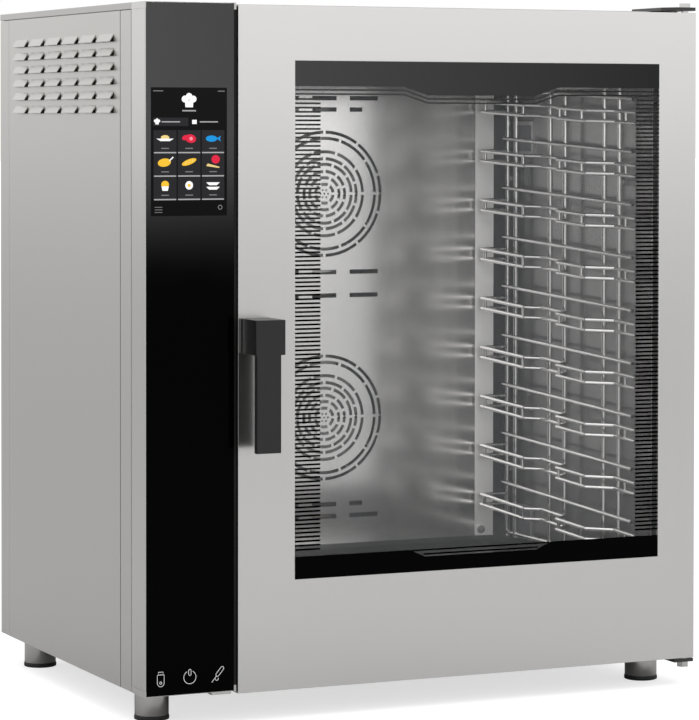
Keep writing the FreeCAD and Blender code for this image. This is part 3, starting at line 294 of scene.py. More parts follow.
def node_finishes():
    """One finish for every material slot of the frame."""
    return {
        # Door skin, side panels and control column are one brushed steel. The door's lighter tone
        # (0.71) and the darker sides (0.52) and column (0.56) are painted light and shade, set by how
        # the light falls on each face.
        "door_steel": steel("door_steel", 0.71, 0.2, UPRIGHT, 0.02, bump=0.01),
        "side_steel": steel("side_steel", 0.52, 0.33, UPRIGHT, 0.04, 0.03, bump=0.02),
        "column_steel": steel("column_steel", 0.56, 0.25, UPRIGHT, 0.06, 0.02, bump=0.04),
        "roof_steel": steel("roof_steel", 0.42, 0.3, SIDEWAYS, 0.08, 0.03),
        "cover_steel": steel("cover_steel", 0.55, 0.34, UPRIGHT, 0.1),
        "frame_steel": steel("frame_steel", 0.42, 0.35, UPRIGHT, 0.1),
        "keeper_steel": steel("keeper_steel", 0.6, 0.25, UPRIGHT),
        # The chamber walls take a far darker steel tone (0.27) than the baffle (0.8) and inner frame
        # (0.88): painted shade inside the closed chamber.
        "chamber_steel": steel("chamber_steel", 0.27, 0.2, INWARD, 0.02, metallic=0.6, bump=0),
        "baffle_steel": steel("baffle_steel", 0.8, 0.17, UPRIGHT, 0.02, bump=0),
        "inner_frame_steel": steel("inner_frame_steel", 0.88, 0.3, UPRIGHT),
        "screw_steel": steel("screw_steel", 0.65, 0.22, ROUND),
        "tube_steel": steel("tube_steel", 0.6, 0.25, UPRIGHT),
        "lamp_rim": steel("lamp_rim", 0.6, 0.3, UPRIGHT),
        "rack_wire": steel("rack_wire", 0.72, 0.14, ROUND, 0.05),
        "peg_steel": steel("peg_steel", 0.65, 0.25, SIDEWAYS),
        "strainer_steel": steel("strainer_steel", 0.6, 0.3, ROUND),
        "vent_steel": steel("vent_steel", 0.55, 0.3, UPRIGHT),
        "wheel_steel": steel("wheel_steel", 0.5, 0.35, ROUND, 0.12),
        "shaft_steel": steel("shaft_steel", 0.6, 0.2, INWARD),
        "bracket_steel": steel("bracket_steel", 0.62, 0.28, SIDEWAYS),
        "case_steel": steel("case_steel", 0.5, 0.35, UPRIGHT),
        "cam_steel": steel("cam_steel", 0.45, 0.35, ROUND),
        "pin_steel": steel("pin_steel", 0.6, 0.2, UPRIGHT),
        "foot_steel": steel("foot_steel", 0.5, 0.07, UPRIGHT, 0.03, 0.02, bump=0.02),
        "sleeve_steel": steel("sleeve_steel", 0.45, 0.3, SIDEWAYS),
        "galvanised_sheet": zinc("galvanised_sheet", 0.5, 0.42),
        "mineral_wool": finish("mineral_wool", WOOL, {"Colour": (0.48, 0.42, 0.22, 1)}, bump=0.6,
                               depth=0.002),
        "element_steel": finish("element_steel", HEATED, {"Colour": grey(0.22)}, bump=0.1,
                                Metallic=0.9),
        "bush_bronze": steel("bush_bronze", 0.4, 0.32, ROUND, 0.12, 0.35),
        "gasket_silicone": plastic("gasket_silicone", grey(0.02), 0.6, 700.0),
        "seal_silicone": plastic("seal_silicone", grey(0.3), 0.55, 700.0),
        "pipe_plastic": plastic("pipe_plastic", grey(0.16), 0.45, 800.0),
        "motor_paint": painted("motor_paint", grey(0.035), 0.4),
        "hinge_paint": painted("hinge_paint", grey(0.012), 0.35),
        "panel_glass": black_glass("panel_glass", 0.0004, 0.03),
        "screen_face": black_glass("screen_face", 0.0004, 0.03),
        "lamp_glass": clear_pane("lamp_glass", 0.5, 0.55),
        "door_glass": clear_pane("door_glass", 0.3, 0.05),
        "inner_pane_glass": clear_pane("inner_pane_glass", 0.3, 0.05),
        "circuit_board": plastic("circuit_board", (0.01, 0.09, 0.035, 1), 0.4, 1400.0, 0.5),
        "switch_plastic": plastic("switch_plastic", grey(0.45), 0.5),
        "valve_plastic": plastic("valve_plastic", (0.02, 0.1, 0.22, 1), 0.45),
        "gland_plastic": plastic("gland_plastic", grey(0.02), 0.5),
        "handle_plastic": plastic("handle_plastic", grey(0.014), 0.42, 1500.0, 0.15, 0.1, 0.35),
    }


FINISHES = node_finishes()
FINISHES["enamel_print"] = black_glass("enamel_print", 0.0004, 0.03)
# The baffle steel made lighter (0.95 against 0.8) for its folded edges: a painted highlight along the
# folds.
FINISHES["hem_highlight_steel"] = steel("hem_highlight_steel", 0.95, 0.4, UPRIGHT, 0.02, bump=0)
FINISHES["icon_ink"] = plastic("icon_ink", grey(0.75), 0.4, 1200.0, 0.05)
FINISHES["sole_rubber"] = plastic("sole_rubber", grey(0.008), 0.65, 900.0)
FINISHES["column_strip_black"] = plastic("column_strip_black", grey(0.003), 0.4, 900.0, 0.1, 0.1, 0.2)


def dress_frame():
    """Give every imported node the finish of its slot."""
    for node in NODES.values():
        for place in node.material_slots:
            place.material = FINISHES[place.material.name.split(".")[0]]


# Mesh helpers.

def keep(name, mesh, finish_name, body, replaced=(), smooth=None):
    """Turn a mesh into a piece of the object, riding on its body."""
    piece = bpy.data.objects.new(name, mesh)
    bpy.context.scene.collection.objects.link(piece)
    if finish_name:
        mesh.materials.clear()
        mesh.materials.append(FINISHES[finish_name])
    if smooth is not None:
        mesh.polygons.foreach_set("use_smooth", [True] * len(mesh.polygons))
        mesh.set_sharp_from_angle(angle=math.radians(smooth))
    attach(piece, body)
    if replaced:
        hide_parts(*replaced)
    return piece


def mesh_from(name, bm):
    """A bmesh as a mesh with its faces turned outwards."""
    bmesh.ops.recalc_face_normals(bm, faces=bm.faces)
    mesh = bpy.data.meshes.new(name)
    bm.to_mesh(mesh)
    bm.free()
    return mesh


def evaluated_mesh(piece, name):
    """The mesh of an object with its modifiers worked in, and the object taken away."""
    view = bpy.context.evaluated_depsgraph_get()
    mesh = bpy.data.meshes.new_from_object(piece.evaluated_get(view))
    mesh.name = name
    bpy.data.objects.remove(piece)
    return mesh


def scratch_object(name, mesh):
    piece = bpy.data.objects.new(name, mesh)
    bpy.context.scene.collection.objects.link(piece)
    return piece


def softened(node, radius, segments=2, corner=30):
    """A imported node's mesh again with its hard edges rounded, as bending and polishing leave them."""
    bm = bmesh.new()
    bm.from_mesh(NODES[node].data)
    bmesh.ops.remove_doubles(bm, verts=bm.verts, dist=0.000002)
    bmesh.ops.dissolve_limit(bm, angle_limit=math.radians(0.5), verts=bm.verts, edges=bm.edges)
    mesh = bpy.data.meshes.new(node + "_soft")
    bm.to_mesh(mesh)
    bm.free()
    piece = scratch_object(node + "_soft", mesh)
    bevel = piece.modifiers.new("edge", "BEVEL")
    bevel.width = radius
    bevel.segments = segments
    bevel.limit_method = "ANGLE"
    bevel.angle_limit = math.radians(corner)
    bevel.harden_normals = True
    return evaluated_mesh(piece, node + "_soft")


def round_edges(node, body, slot, radius):
    """Replace a sheet-metal node by its softened copy."""
    mesh = softened(node, radius)
    return keep(node + "_formed", mesh, slot, body, (node,))


def prism(bm, outline, front, back):
    """A flat block in bm: an outline of X and Z points between two Y planes."""
    near = [bm.verts.new((x, front, z)) for x, z in outline]
    far = [bm.verts.new((x, back, z)) for x, z in outline]
    bm.faces.new(near)
    bm.faces.new(far[::-1])
    for i, j in zip(range(len(near)), [*range(1, len(near)), 0]):
        bm.faces.new((near[j], near[i], far[i], far[j]))


def bar(left, low, right, high):
    return [(left, low), (right, low), (right, high), (left, high)]


def oval(centre_x, centre_z, half_wide, half_tall, lean=0.0, steps=28):
    """An ellipse, its long side turned by lean degrees."""
    turn = Matrix.Rotation(math.radians(lean), 2)
    points = []
    for i in range(steps):
        angle = math.tau * i / steps
        point = turn @ Vector((half_wide * math.cos(angle), half_tall * math.sin(angle)))
        points.append((centre_x + point.x, centre_z + point.y))
    return points


def stroke(bm, points, width, front, back, closed=False):
    """A drawn line of even width along X and Z points, as a closed thin ribbon."""
    points = [Vector(point) for point in points]
    count = len(points)
    rings = []
    for i, point in enumerate(points):
        before = points[i - 1] if closed or i > 0 else point
        after = points[(i + 1) % count] if closed or i < count - 1 else point
        along = (after - before).normalized()
        side = Vector((-along.y, along.x)) * width / 2
        corners = ((point + side, front), (point - side, front),
                   (point - side, back), (point + side, back))
        rings.append([bm.verts.new((flat.x, y, flat.y)) for flat, y in corners])
    followers = rings[1:] + rings[:1] if closed else rings[1:]
    for ring, following in zip(rings, followers):
        for i in range(4):
            j = (i + 1) % 4
            bm.faces.new((ring[i], ring[j], following[j], following[i]))
    if not closed:
        bm.faces.new(rings[0][::-1])
        bm.faces.new(rings[-1])


def lathe(bm, profile, centre, steps=72):
    """A turned solid on an upright axis: a profile of radii and heights, closed on the axis."""
    rings = []
    for radius, height in profile:
        if radius == 0:
            rings.append([bm.verts.new((centre.x, centre.y, height))])
            continue
        turned = []
        for i in range(steps):
            angle = math.tau * i / steps
            turned.append(bm.verts.new((centre.x + radius * math.cos(angle),
                                        centre.y + radius * math.sin(angle), height)))
        rings.append(turned)
    for low, high in zip(rings, rings[1:]):
        for i in range(steps):
            j = (i + 1) % steps
            corners = [low[i % len(low)], low[j % len(low)], high[j % len(high)], high[i % len(high)]]
            bm.faces.new(list(dict.fromkeys(corners)))


# Geometry Nodes: what repeats.

def geometry_tree(name, inputs):
    """An empty geometry tree with named inputs and its geometry output."""
    tree = bpy.data.node_groups.new(name, "GeometryNodeTree")
    for label, kind in inputs:
        tree.interface.new_socket(label, in_out="INPUT", socket_type="NodeSocket" + kind)
    tree.interface.new_socket("Geometry", in_out="OUTPUT", socket_type="NodeSocketGeometry")
    return tree, tree.nodes.new("NodeGroupInput").outputs, tree.nodes.new("NodeGroupOutput").inputs


def grown(name, tree, values):
    """Run a geometry tree with its inputs set and return the plain mesh."""
    piece = scratch_object(name, bpy.data.meshes.new(name))
    modifier = piece.modifiers.new(name, "NODES")
    modifier.node_group = tree
    for item in tree.interface.items_tree:
        if item.in_out == "INPUT" and item.name in values:
            modifier[item.identifier] = values[item.name]
    return evaluated_mesh(piece, name)


def printed_lines_tree():
    """Two columns of short printed bars, one above the other at an even pitch."""
    tree, given, gives = geometry_tree("printed_lines", [
        ("First Bar", "Vector"), ("Bar Size", "Vector"), ("Pitch", "Vector"), ("Bars", "Int"),
        ("Second Column", "Vector"), ("Ink", "Material")])
    shape = add_node(tree, "GeometryNodeMeshCube", None, Size=given["Bar Size"])
    column = add_node(tree, "GeometryNodeMeshLine", None, Count=given["Bars"], Offset=given["Pitch"],
                      **{"Start Location": given["First Bar"]})
    shifted = add_node(tree, "GeometryNodeTransform", None, Geometry=column.outputs[0],
                       Translation=given["Second Column"])
    places = tree.nodes.new("GeometryNodeJoinGeometry")
    for side in (column, shifted):
        tree.links.new(side.outputs[0], places.inputs[0])
    bars = add_node(tree, "GeometryNodeInstanceOnPoints", None, Points=places.outputs[0],
                    Instance=shape.outputs[0])
    real = add_node(tree, "GeometryNodeRealizeInstances", None, Geometry=bars.outputs[0])
    inked = add_node(tree, "GeometryNodeSetMaterial", None, Geometry=real.outputs[0],
                     Material=given["Ink"])
    tree.links.new(inked.outputs[0], gives["Geometry"])
    return tree


def screw_rows_tree():
    """A sheet's edge screws: two rows of domed heads, each row at an even pitch."""
    tree, given, gives = geometry_tree("screw_rows", [
        ("First Screw", "Vector"), ("Pitch", "Vector"), ("Screws", "Int"),
        ("Second Row", "Vector"), ("Turn", "Vector"), ("Head Radius", "Float"),
        ("Steel", "Material")])
    dome = add_node(tree, "GeometryNodeMeshUVSphere", None, Segments=16, Rings=8,
                    Radius=given["Head Radius"])
    flat = add_node(tree, "GeometryNodeTransform", None, Geometry=dome.outputs[0],
                    Rotation=given["Turn"], Scale=(1, 1, 0.45))
    row = add_node(tree, "GeometryNodeMeshLine", None, Count=given["Screws"], Offset=given["Pitch"],
                   **{"Start Location": given["First Screw"]})
    shifted = add_node(tree, "GeometryNodeTransform", None, Geometry=row.outputs[0],
                       Translation=given["Second Row"])
    places = tree.nodes.new("GeometryNodeJoinGeometry")
    for side in (row, shifted):
        tree.links.new(side.outputs[0], places.inputs[0])
    heads = add_node(tree, "GeometryNodeInstanceOnPoints", None, Points=places.outputs[0],
                     Instance=flat.outputs[0])
    real = add_node(tree, "GeometryNodeRealizeInstances", None, Geometry=heads.outputs[0])
    dressed = add_node(tree, "GeometryNodeSetMaterial", None, Geometry=real.outputs[0],
                       Material=given["Steel"])
    tree.links.new(dressed.outputs[0], gives["Geometry"])
    return tree


def rear_screws():
    """The screws down both edges of the rear panel."""
    low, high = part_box("rear_panel")
    inset, pitch, count, head = 11 * MM, 114 * MM, 8, 4.2 * MM
    mesh = grown("rear_edge_screws", screw_rows_tree(), {
        "First Screw": (low.x + inset, high.y, low.z + 5 * inset), "Pitch": (0, 0, pitch),
        "Screws": count, "Second Row": (high.x - low.x - 2 * inset, 0, 0),
        "Turn": (math.pi / 2, 0, 0), "Head Radius": head, "Steel": FINISHES["screw_steel"]})
    keep("rear_edge_screws", mesh, None, "cabinet", smooth=60)


# Door window: black enamel round the clear glass.

WINDOW_EDGE = 12 * MM
INK = 0.2 * MM


def window_opening():
    """The clear opening of the door skin, in X and Z, and the front plane of its glass."""
    low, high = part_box("outer_glass")
    return low.x + WINDOW_EDGE, low.z + WINDOW_EDGE, high.x - WINDOW_EDGE, high.z - WINDOW_EDGE, low.y


def window_print():
    """The enamel bands above and below, with the lines that follow the upper band."""
    left, low, right, high, face = window_opening()
    centre = (left + right) / 2
    front, back = face - INK, face
    top_band, top_dip = 35.5 * MM, 47.5 * MM
    dip_outer, dip_inner = 124 * MM, 86 * MM

    def under_band(drop):
        """The lower edge of the top band, lowered by drop."""
        return [(left, high - top_band - drop), (centre - dip_outer, high - top_band - drop),
                (centre - dip_inner, high - top_dip - drop),
                (centre + dip_inner, high - top_dip - drop),
                (centre + dip_outer, high - top_band - drop), (right, high - top_band - drop)]

    bm = bmesh.new()
    prism(bm, under_band(0) + [(right, high), (left, high)], front, back)
    for drop in (3.8 * MM, 9.7 * MM):
        prism(bm, under_band(drop + 2.3 * MM) + under_band(drop)[::-1], front, back)
    foot_band, foot_dip = 31.7 * MM, 21.2 * MM
    notch_outer, notch_inner = 113.5 * MM, 89.5 * MM
    prism(bm, [(left, low), (right, low), (right, low + foot_band),
               (centre + notch_outer, low + foot_band), (centre + notch_inner, low + foot_dip),
               (centre - notch_inner, low + foot_dip), (centre - notch_outer, low + foot_band),
               (left, low + foot_band)], front, back)
    for rise, reach in ((29.4 * MM, notch_outer - 2.5 * MM), (23.5 * MM, notch_inner + 3 * MM)):
        prism(bm, bar(centre - reach, low + rise, centre + reach, low + rise + 2.3 * MM), front, back)
    keep("window_print", mesh_from("window_print", bm), "enamel_print", "door")


def window_lines():
    """The ladder of short enamel lines down each side of the window."""
    left, _, right, high, face = window_opening()
    column, pitch, thick, count = 38.6 * MM, 5.95 * MM, 2.7 * MM, 107
    first = Vector((left + column / 2, face - INK / 2, high - 53.5 * MM))
    mesh = grown("window_lines", printed_lines_tree(), {
        "First Bar": first, "Bar Size": (column, INK, thick), "Pitch": (0, 0, -pitch),
        "Bars": count, "Second Column": (right - left - column, 0, 0),
        "Ink": FINISHES["enamel_print"]})
    keep("window_lines", mesh, None, "door")


# Touchscreen: a dark page of pictured tiles, with plain bars where words would stand.

LAYER = 0.12 * MM


class Page:
    """Flat shapes in a screen's own measure: across and down from 0 to 1, in layers of colour."""

    def __init__(self, node, face):
        low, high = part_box(node)
        self.left, self.top, self.face = low.x, high.z, face
        self.wide, self.tall = high.x - low.x, high.z - low.z
        self.layers = {}

    def spot(self, across, down):
        return self.left + across * self.wide, self.top - down * self.tall

    def draw(self, colour, outline, layer):
        bm = self.layers.setdefault(colour, bmesh.new())
        prism(bm, outline, self.face - layer * LAYER, self.face - (layer - 1) * LAYER)

    def box(self, colour, left, top, right, foot, layer):
        (x_low, z_high), (x_high, z_low) = self.spot(left, top), self.spot(right, foot)
        self.draw(colour, bar(x_low, z_low, x_high, z_high), layer)

    def round(self, colour, across, down, half_wide, half_tall, layer, lean=0.0):
        x, z = self.spot(across, down)
        self.draw(colour, oval(x, z, half_wide * self.wide, half_tall * self.wide, lean), layer)

    def shape(self, colour, across, down, points, layer):
        """An outline given about a spot in parts of the screen's width, z upwards."""
        x, z = self.spot(across, down)
        self.draw(colour, [(x + a * self.wide, z + b * self.wide) for a, b in points], layer)


def draw_hat(page, across, down, big, layer):
    """A cook's hat: three puffs over a band."""
    for side, rise in ((-0.055, 0.01), (0.0, 0.03), (0.055, 0.01)):
        page.round("white", across + side * big, down - rise * big, 0.042 * big, 0.042 * big, layer)
    page.shape("white", across, down, [(-0.05 * big, -0.085 * big), (0.05 * big, -0.085 * big),
                                       (0.055 * big, 0.0), (-0.055 * big, 0.0)], layer + 1)


def draw_bowl(page, x, y, layer):
    page.round("straw", x, y - 0.008, 0.055, 0.03, layer)
    page.shape("white", x, y, [(-0.06, -0.03), (0.06, -0.03), (0.115, 0.0), (-0.115, 0.0)], layer + 1)


def draw_chop(page, x, y, layer):
    page.round("red", x + 0.02, y, 0.07, 0.052, layer, -12)
    page.round("red", x - 0.05, y - 0.008, 0.045, 0.03, layer + 1, 20)
    page.round("rose", x + 0.025, y, 0.022, 0.022, layer + 2)


def draw_fish(page, x, y, layer):
    page.round("blue", x - 0.02, y, 0.075, 0.038, layer)
    page.shape("blue", x, y, [(0.045, 0.0), (0.105, -0.035), (0.09, 0.0), (0.105, 0.035)], layer + 1)


def draw_roast(page, x, y, layer):
    page.round("amber", x - 0.01, y + 0.004, 0.085, 0.05, layer, 8)
    page.shape("white", x, y, [(0.05, 0.02), (0.062, 0.012), (0.112, 0.055), (0.1, 0.067)], layer + 1)


def draw_loaf(page, x, y, layer):
    page.round("amber", x, y, 0.1, 0.033, layer, 20)
    for shift in (-0.045, 0.0, 0.045):
        page.shape("straw", x + shift, y - shift * 0.2,
                   [(-0.012, -0.016), (-0.002, -0.016), (0.014, 0.02), (0.004, 0.02)], layer + 1)


def draw_greens(page, x, y, layer):
    page.round("red", x + 0.035, y - 0.02, 0.055, 0.052, layer)
    page.shape("straw", x, y, [(-0.09, -0.05), (0.08, -0.075), (0.085, -0.06), (-0.07, -0.02)],
               layer + 1)


def draw_cake(page, x, y, layer):
    page.round("amber", x, y - 0.008, 0.05, 0.045, layer)
    page.shape("white", x, y, [(-0.034, -0.065), (0.034, -0.065), (0.048, -0.01), (-0.048, -0.01)],
               layer + 1)


def draw_egg(page, x, y, layer):
    page.round("white", x, y, 0.05, 0.052, layer)
    page.round("amber", x, y, 0.02, 0.02, layer + 1)


def draw_dishes(page, x, y, layer):
    for shift in (0.0, 0.055):
        page.shape("white", x, y, [(-0.05, 0.0 - shift), (0.05, 0.0 - shift),
                                   (0.09, 0.035 - shift), (-0.09, 0.035 - shift)], layer)


def draw_tiles(page):
    """Three rows of three tiles, each with a picture, a caption bar and an underline."""
    pictures = [draw_bowl, draw_chop, draw_fish, draw_roast, draw_loaf, draw_greens,
                draw_cake, draw_egg, draw_dishes]
    first_left, first_top = 0.035, 0.332
    pitch_across, pitch_down, wide, tall = 0.315, 0.182, 0.3, 0.172
    for i, picture in enumerate(pictures):
        left = first_left + (i % 3) * pitch_across
        top = first_top + (i // 3) * pitch_down
        middle = left + wide / 2
        page.box("tile", left, top, left + wide, top + tall, 2)
        page.box("silver", left + 0.005, top + tall - 0.002, left + wide - 0.005, top + tall + 0.008, 3)
        picture(page, middle, top + 0.066, 3)
        page.box("ash", middle - 0.05, top + 0.138, middle + 0.05, top + 0.146, 3)


def touchscreen_page():
    """The lit page behind the panel glass: header, two tabs, nine tiles and a foot row."""
    glass_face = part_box("control_glass")[0].y
    page = Page("touchscreen", glass_face)
    page.box("night", 0.0, 0.0, 1.0, 1.0, 1)
    page.box("ash", 0.03, 0.024, 0.16, 0.031, 2)
    page.box("ash", 0.88, 0.024, 0.97, 0.031, 2)
    draw_hat(page, 0.5, 0.1, 1.0, 2)
    page.box("silver", 0.41, 0.176, 0.59, 0.186, 2)
    page.box("tile", 0.03, 0.235, 0.49, 0.3, 2)
    draw_hat(page, 0.08, 0.265, 0.42, 3)
    page.box("silver", 0.14, 0.263, 0.38, 0.272, 3)
    page.box("white", 0.54, 0.252, 0.6, 0.284, 2)
    page.box("silver", 0.64, 0.263, 0.88, 0.272, 2)
    draw_tiles(page)
    for down in (0.928, 0.948, 0.968):
        page.box("ash", 0.05, down, 0.15, down + 0.005, 2)
    page.round("ash", 0.91, 0.935, 0.03, 0.03, 2)
    page.round("night", 0.91, 0.935, 0.02, 0.02, 3)
    for colour, bm in page.layers.items():
        piece_name = "screen_" + colour
        keep(piece_name, mesh_from(piece_name, bm), piece_name, "cabinet")


SCREEN_LIGHTS = {
    "night": ((0.004, 0.004, 0.005), 0.5), "tile": ((0.02, 0.02, 0.022), 1.0),
    "ash": ((0.2, 0.2, 0.2), 1.0), "silver": ((0.4, 0.4, 0.4), 1.0), "white": ((1, 1, 1), 1.0),
    "red": ((0.75, 0.02, 0.06), 1.0), "rose": ((0.95, 0.3, 0.35), 1.0),
    "blue": ((0.01, 0.3, 0.72), 1.0), "amber": ((0.95, 0.55, 0.04), 1.0),
    "straw": ((0.85, 0.65, 0.25), 1.0),
}
for light_name, (light_colour, light_strength) in SCREEN_LIGHTS.items():
    FINISHES["screen_" + light_name] = display_light("screen_" + light_name, light_colour,
                                                     light_strength)


# Panel signs: printed outlines of a memory stick, a power button and a core probe.

def arc(centre_x, centre_z, radius, start, stop, steps=16):
    """Points along an arc, from start to stop degrees."""
    points = []
    for i in range(steps + 1):
        angle = math.radians(start + (stop - start) * i / steps)
        points.append((centre_x + radius * math.cos(angle), centre_z + radius * math.sin(angle)))
    return points


def leaning(points, centre_x, centre_z, lean):
    turn = Matrix.Rotation(math.radians(lean), 2)
    moved = [turn @ Vector(point) for point in points]
    return [(centre_x + point.x, centre_z + point.y) for point in moved]


def panel_signs():
    low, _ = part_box("control_glass")
    front, back = low.y - INK, low.y
    line = 0.75 * MM
    bm = bmesh.new()
    x, z = low.x + 21 * MM, low.z + 23 * MM
    body = arc(x, z - 5 * MM, 5 * MM, 180, 360) + [(x + 5 * MM, z + 6 * MM), (x - 5 * MM, z + 6 * MM)]
    stroke(bm, body, line, front, back, closed=True)
    stroke(bm, bar(x - 3.5 * MM, z + 6.4 * MM, x + 3.5 * MM, z + 10 * MM), line, front, back, True)
    stroke(bm, oval(x, z - 5 * MM, 1.6 * MM, 1.6 * MM, steps=16), line, front, back, True)
    x, z = low.x + 64 * MM, low.z + 23 * MM
    stroke(bm, arc(x, z, 9 * MM, 118, 422, 40), line, front, back)
    capsule = arc(x, z + 9 * MM, 1.9 * MM, 0, 180, 8) + arc(x, z + 4.5 * MM, 1.9 * MM, 180, 360, 8)
    stroke(bm, capsule, line, front, back, closed=True)
    x, z = low.x + 106 * MM, low.z + 26 * MM
    grip = arc(0, 8 * MM, 2.4 * MM, 0, 180, 8) + arc(0, -3 * MM, 2.4 * MM, 180, 360, 8)
    stroke(bm, leaning(grip, x + 1 * MM, z, -40), line, front, back, closed=True)
    needle = [(0, -5.6 * MM), (0, -16 * MM)]
    stroke(bm, leaning(needle, x + 1 * MM, z, -40), line, front, back)
    lead = arc(3 * MM, -8 * MM, 2.2 * MM, 200, 430, 14)
    stroke(bm, leaning(lead, x + 1 * MM, z, -40), line, front, back)
    keep("panel_signs", mesh_from("panel_signs", bm), "icon_ink", "cabinet")


def column_edge():
    """A black strip on the control column's front between the panel glass and the door, and a thin
    black sheet down the column's side next to the door.
    """
    _, glass_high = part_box("control_glass")
    column_low, column_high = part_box("control_column")
    bm = bmesh.new()
    prism(bm, bar(glass_high.x, column_low.z, column_high.x + 0.4 * MM, column_high.z),
          column_low.y - 0.3 * MM, column_low.y)
    prism(bm, bar(column_high.x, column_low.z, column_high.x + 0.4 * MM, column_high.z),
          column_low.y, column_high.y)
    keep("column_edge", mesh_from("column_edge", bm), "column_strip_black", "cabinet")


def baffle_hems():
    """The folded edges down both sides of the fan baffle, each turned a little inwards."""
    low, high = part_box("fan_baffle")
    wide, rise = 30 * MM, 6 * MM
    bm = bmesh.new()
    for edge, inner in ((low.x, low.x + wide), (high.x, high.x - wide)):
        section = [(inner, low.y), (edge, low.y), (edge, low.y - rise)]
        foot_ring, top_ring = ([bm.verts.new((x, y, z)) for x, y in section]
                               for z in (low.z, high.z))
        bm.faces.new(foot_ring)
        bm.faces.new(top_ring[::-1])
        for i, j in ((0, 1), (1, 2), (2, 0)):
            bm.faces.new((foot_ring[j], foot_ring[i], top_ring[i], top_ring[j]))
    # The hems take the lighter steel: painted highlight along the baffle's folds.
    keep("baffle_hems", mesh_from("baffle_hems", bm), "hem_highlight_steel", "cabinet")


# Handle, feet and formed sheet metal.

def handle():
    """The moulded grip with its edges rounded."""
    mesh = softened("handle_grip", 0.9 * MM, 3, 40)
    keep("handle_moulding", mesh, "handle_plastic", "handle", ("handle_grip",))


def foot(node):
    """A turned steel foot with a bright collar, and a black sole under it."""
    low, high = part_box(node)
    centre = (low + high) / 2
    sole_radius = (high.x - low.x) / 2
    radius = sole_radius - 0.75 * MM
    sole_top = low.z + 6 * MM
    bm = bmesh.new()
    lathe(bm, [(0, sole_top), (radius - 1.2 * MM, sole_top), (radius - 0.3 * MM, sole_top + 0.4 * MM),
               (radius, sole_top + 1.2 * MM), (radius, high.z - 7.5 * MM),
               (radius - 0.5 * MM, high.z - 6.8 * MM), (radius - 1.6 * MM, high.z - 6.5 * MM),
               (radius - 1.6 * MM, high.z - 4.2 * MM), (radius - 0.5 * MM, high.z - 3.9 * MM),
               (radius, high.z - 3.3 * MM), (radius, high.z - 2.2 * MM), (0, high.z - 2.2 * MM)],
          centre)
    keep(node + "_turned", mesh_from(node + "_turned", bm), "foot_steel", node,
         (node,), smooth=30)
    bm = bmesh.new()
    lathe(bm, [(0, low.z), (sole_radius - 1.5 * MM, low.z), (sole_radius - 0.4 * MM, low.z + 0.5 * MM),
               (sole_radius, low.z + 1.6 * MM), (sole_radius, sole_top - 1.2 * MM),
               (sole_radius - 0.5 * MM, sole_top), (0, sole_top)], centre)
    keep(node + "_sole", mesh_from(node + "_sole", bm), "sole_rubber", node, smooth=30)


def formed_sheets():
    """Sheet-metal pieces with rounded bends."""
    round_edges("door_skin", "door", "door_steel", 0.8 * MM)
    round_edges("control_column", "cabinet", "column_steel", 0.5 * MM)
    round_edges("roof_panel", "cabinet", "roof_steel", 0.8 * MM)
    round_edges("left_side_panel", "cabinet", "side_steel", 0.5 * MM)
    round_edges("left_front_post", "cabinet", "side_steel", 0.5 * MM)
    round_edges("right_side_panel", "cabinet", "side_steel", 0.5 * MM)
    round_edges("rear_posts", "cabinet", "side_steel", 0.5 * MM)
    round_edges("rear_motor_cover", "cabinet", "cover_steel", 0.8 * MM)
    round_edges("hinge_brackets", "cabinet", "hinge_paint", 0.6 * MM)


# Light, floor and camera.

def area_light(name, place, aim, wide, tall, power):
    """A soft rectangle of light turned towards a point."""
    lamp = bpy.data.lights.new(name, "AREA")
    lamp.shape = "RECTANGLE"
    lamp.size, lamp.size_y, lamp.energy = wide, tall, power
    holder = bpy.data.objects.new(name, lamp)
    bpy.context.scene.collection.objects.link(holder)
    place, aim = Vector(place), Vector(aim)
    turn = (aim - place).to_track_quat("-Z", "Y").to_matrix().to_4x4()
    holder.matrix_world = Matrix.Translation(place) @ turn
    holder.visible_camera = False
    return holder


ROOM_LIGHT = 1.12


def room():
    """A white room: even light all round, whiter to the camera."""
    world = bpy.data.worlds.new("white_room")
    bpy.context.scene.world = world
    world.use_nodes = True
    tree = world.node_tree
    tree.nodes.clear()
    rays = tree.nodes.new("ShaderNodeLightPath")
    strength = add_node(tree, "ShaderNodeMapRange", None, Value=rays.outputs["Is Camera Ray"],
                        **{"To Min": ROOM_LIGHT, "To Max": 1.0})
    glow = add_node(tree, "ShaderNodeBackground", None, Color=(1, 1, 1, 1),
                    Strength=strength.outputs[0])
    out = tree.nodes.new("ShaderNodeOutputWorld")
    tree.links.new(glow.outputs[0], out.inputs[0])


def floor():
    """A pale floor under the feet."""
    bm = bmesh.new()
    reach = 60
    corners = [bm.verts.new((x, y, 0)) for x, y in
               ((-reach, -reach), (reach, -reach), (reach, reach), (-reach, reach))]
    bm.faces.new(corners)
    mesh = bpy.data.meshes.new("floor")
    bm.to_mesh(mesh)
    bm.free()
    ground = scratch_object("floor", mesh)
    pale = finish("floor_pale", MOULDED, {
        "Colour": grey(0.5), "Roughness": 0.9, "Pebbles": 6.0, "Uneven": 0.01},
        Specular_IOR_Level=0.0, Emission_Color=(1, 1, 1, 1))
    tree = pale.node_tree
    seen = spread(tree, tree.nodes.new("ShaderNodeLightPath").outputs["Is Camera Ray"], 0.0, 0.66)
    tree.links.new(seen, tree.nodes["Principled BSDF"].inputs["Emission Strength"])
    mesh.materials.append(pale)


CARD_POWER = 390
CARD_PLACE = (2.7, -6.0, 0.95)
CARD_AIM = (2.7, 0.0, 0.95)
CARD_WIDE, CARD_TALL = 2.6, 1.5


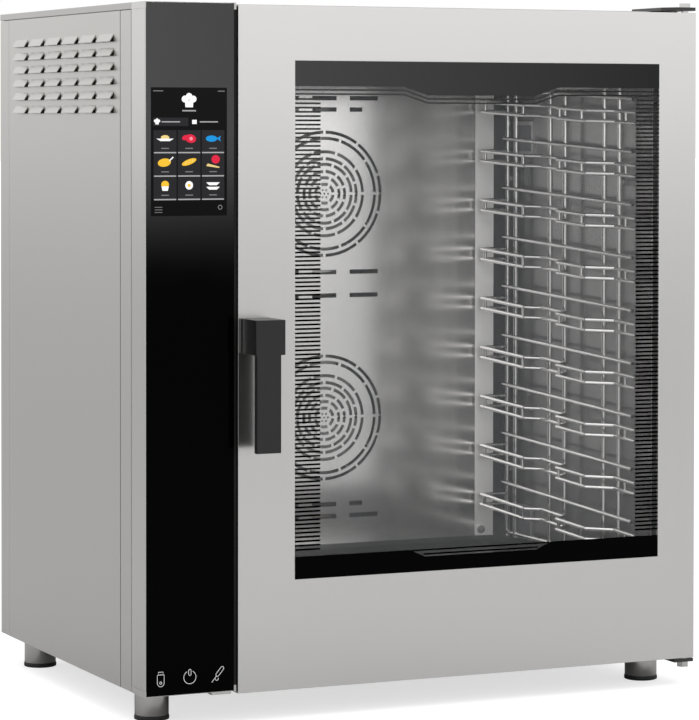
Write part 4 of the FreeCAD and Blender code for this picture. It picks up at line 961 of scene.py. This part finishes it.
def glass_card(lit):
    """A graded card low in front on the right, which only the black glass mirrors."""
    card = area_light("glass_card", CARD_PLACE, CARD_AIM, CARD_WIDE, CARD_TALL, CARD_POWER)
    card.data.use_nodes = True
    tree = card.data.node_tree
    tree.nodes.clear()
    place = add_node(tree, "ShaderNodeSeparateXYZ", None,
                     Vector=tree.nodes.new("ShaderNodeNewGeometry").outputs["Parametric"])
    upward = add_node(tree, "ShaderNodeMapRange", {"interpolation_type": "SMOOTHSTEP"},
                      Value=place.outputs["Y"], **{"From Min": 0.08, "From Max": 0.42}).outputs[0]
    across = spread(tree, place.outputs["X"], 1.0, 0.15)
    glow = add_node(tree, "ShaderNodeEmission", None,
                    Strength=math_node(tree, "MULTIPLY", upward, across))
    out = tree.nodes.new("ShaderNodeOutputLight")
    tree.links.new(glow.outputs[0], out.inputs[0])
    receivers = bpy.data.collections.new("mirrors_the_card")
    for piece in lit:
        receivers.objects.link(piece)
    card.light_linking.receiver_collection = receivers


CHAMBER_POWER = 0.75
OVERHEAD_POWER = 60


def studio():
    """Soft light from above and the left, and a light just behind the door that fills the chamber."""
    pane_low, pane_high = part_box("inner_glass")
    wide, tall = pane_high.x - pane_low.x, pane_high.z - pane_low.z
    middle = (pane_low + pane_high) / 2
    area_light("chamber_light", (middle.x, pane_high.y + 20 * MM, middle.z),
               (middle.x, pane_high.y + 1, middle.z), wide * 0.9, tall * 0.9, CHAMBER_POWER)
    area_light("overhead", (-0.6, -1.6, 4.2), (0, 0, 0.5), 3.5, 3.5, OVERHEAD_POWER)
    glass_card([NODES["control_glass"], *(bpy.data.objects[name] for name in
                                          ("window_print", "window_lines"))])


CAMERA_PLACE = Vector((-1.983, -4.393, 0.835))
CAMERA_TURN = math.radians(24.61)
CAMERA_DIP = math.radians(1.36)
CAMERA_ROLL = math.radians(0.07)
SENSOR = 36.0
LENS = 158.76
LOW_SHIFT = -0.2256


def camera():
    eye = bpy.data.cameras.new("camera")
    eye.sensor_width, eye.lens = SENSOR, LENS
    eye.shift_y = LOW_SHIFT
    eye.clip_end = 200
    holder = bpy.data.objects.new("camera", eye)
    bpy.context.scene.collection.objects.link(holder)
    turn = (Matrix.Rotation(-CAMERA_TURN, 4, "Z") @ Matrix.Rotation(math.pi / 2 - CAMERA_DIP, 4, "X")
            @ Matrix.Rotation(CAMERA_ROLL, 4, "Z"))
    holder.matrix_world = Matrix.Translation(CAMERA_PLACE) @ turn
    bpy.context.scene.camera = holder


dress_frame()
formed_sheets()
rear_screws()
baffle_hems()
window_print()
window_lines()
touchscreen_page()
panel_signs()
column_edge()
handle()
for foot_name in ("foot_front_left", "foot_front_right", "foot_back_left", "foot_back_right"):
    foot(foot_name)
room()
floor()
studio()
camera()
bpy.context.scene.view_settings.view_transform = "Standard"
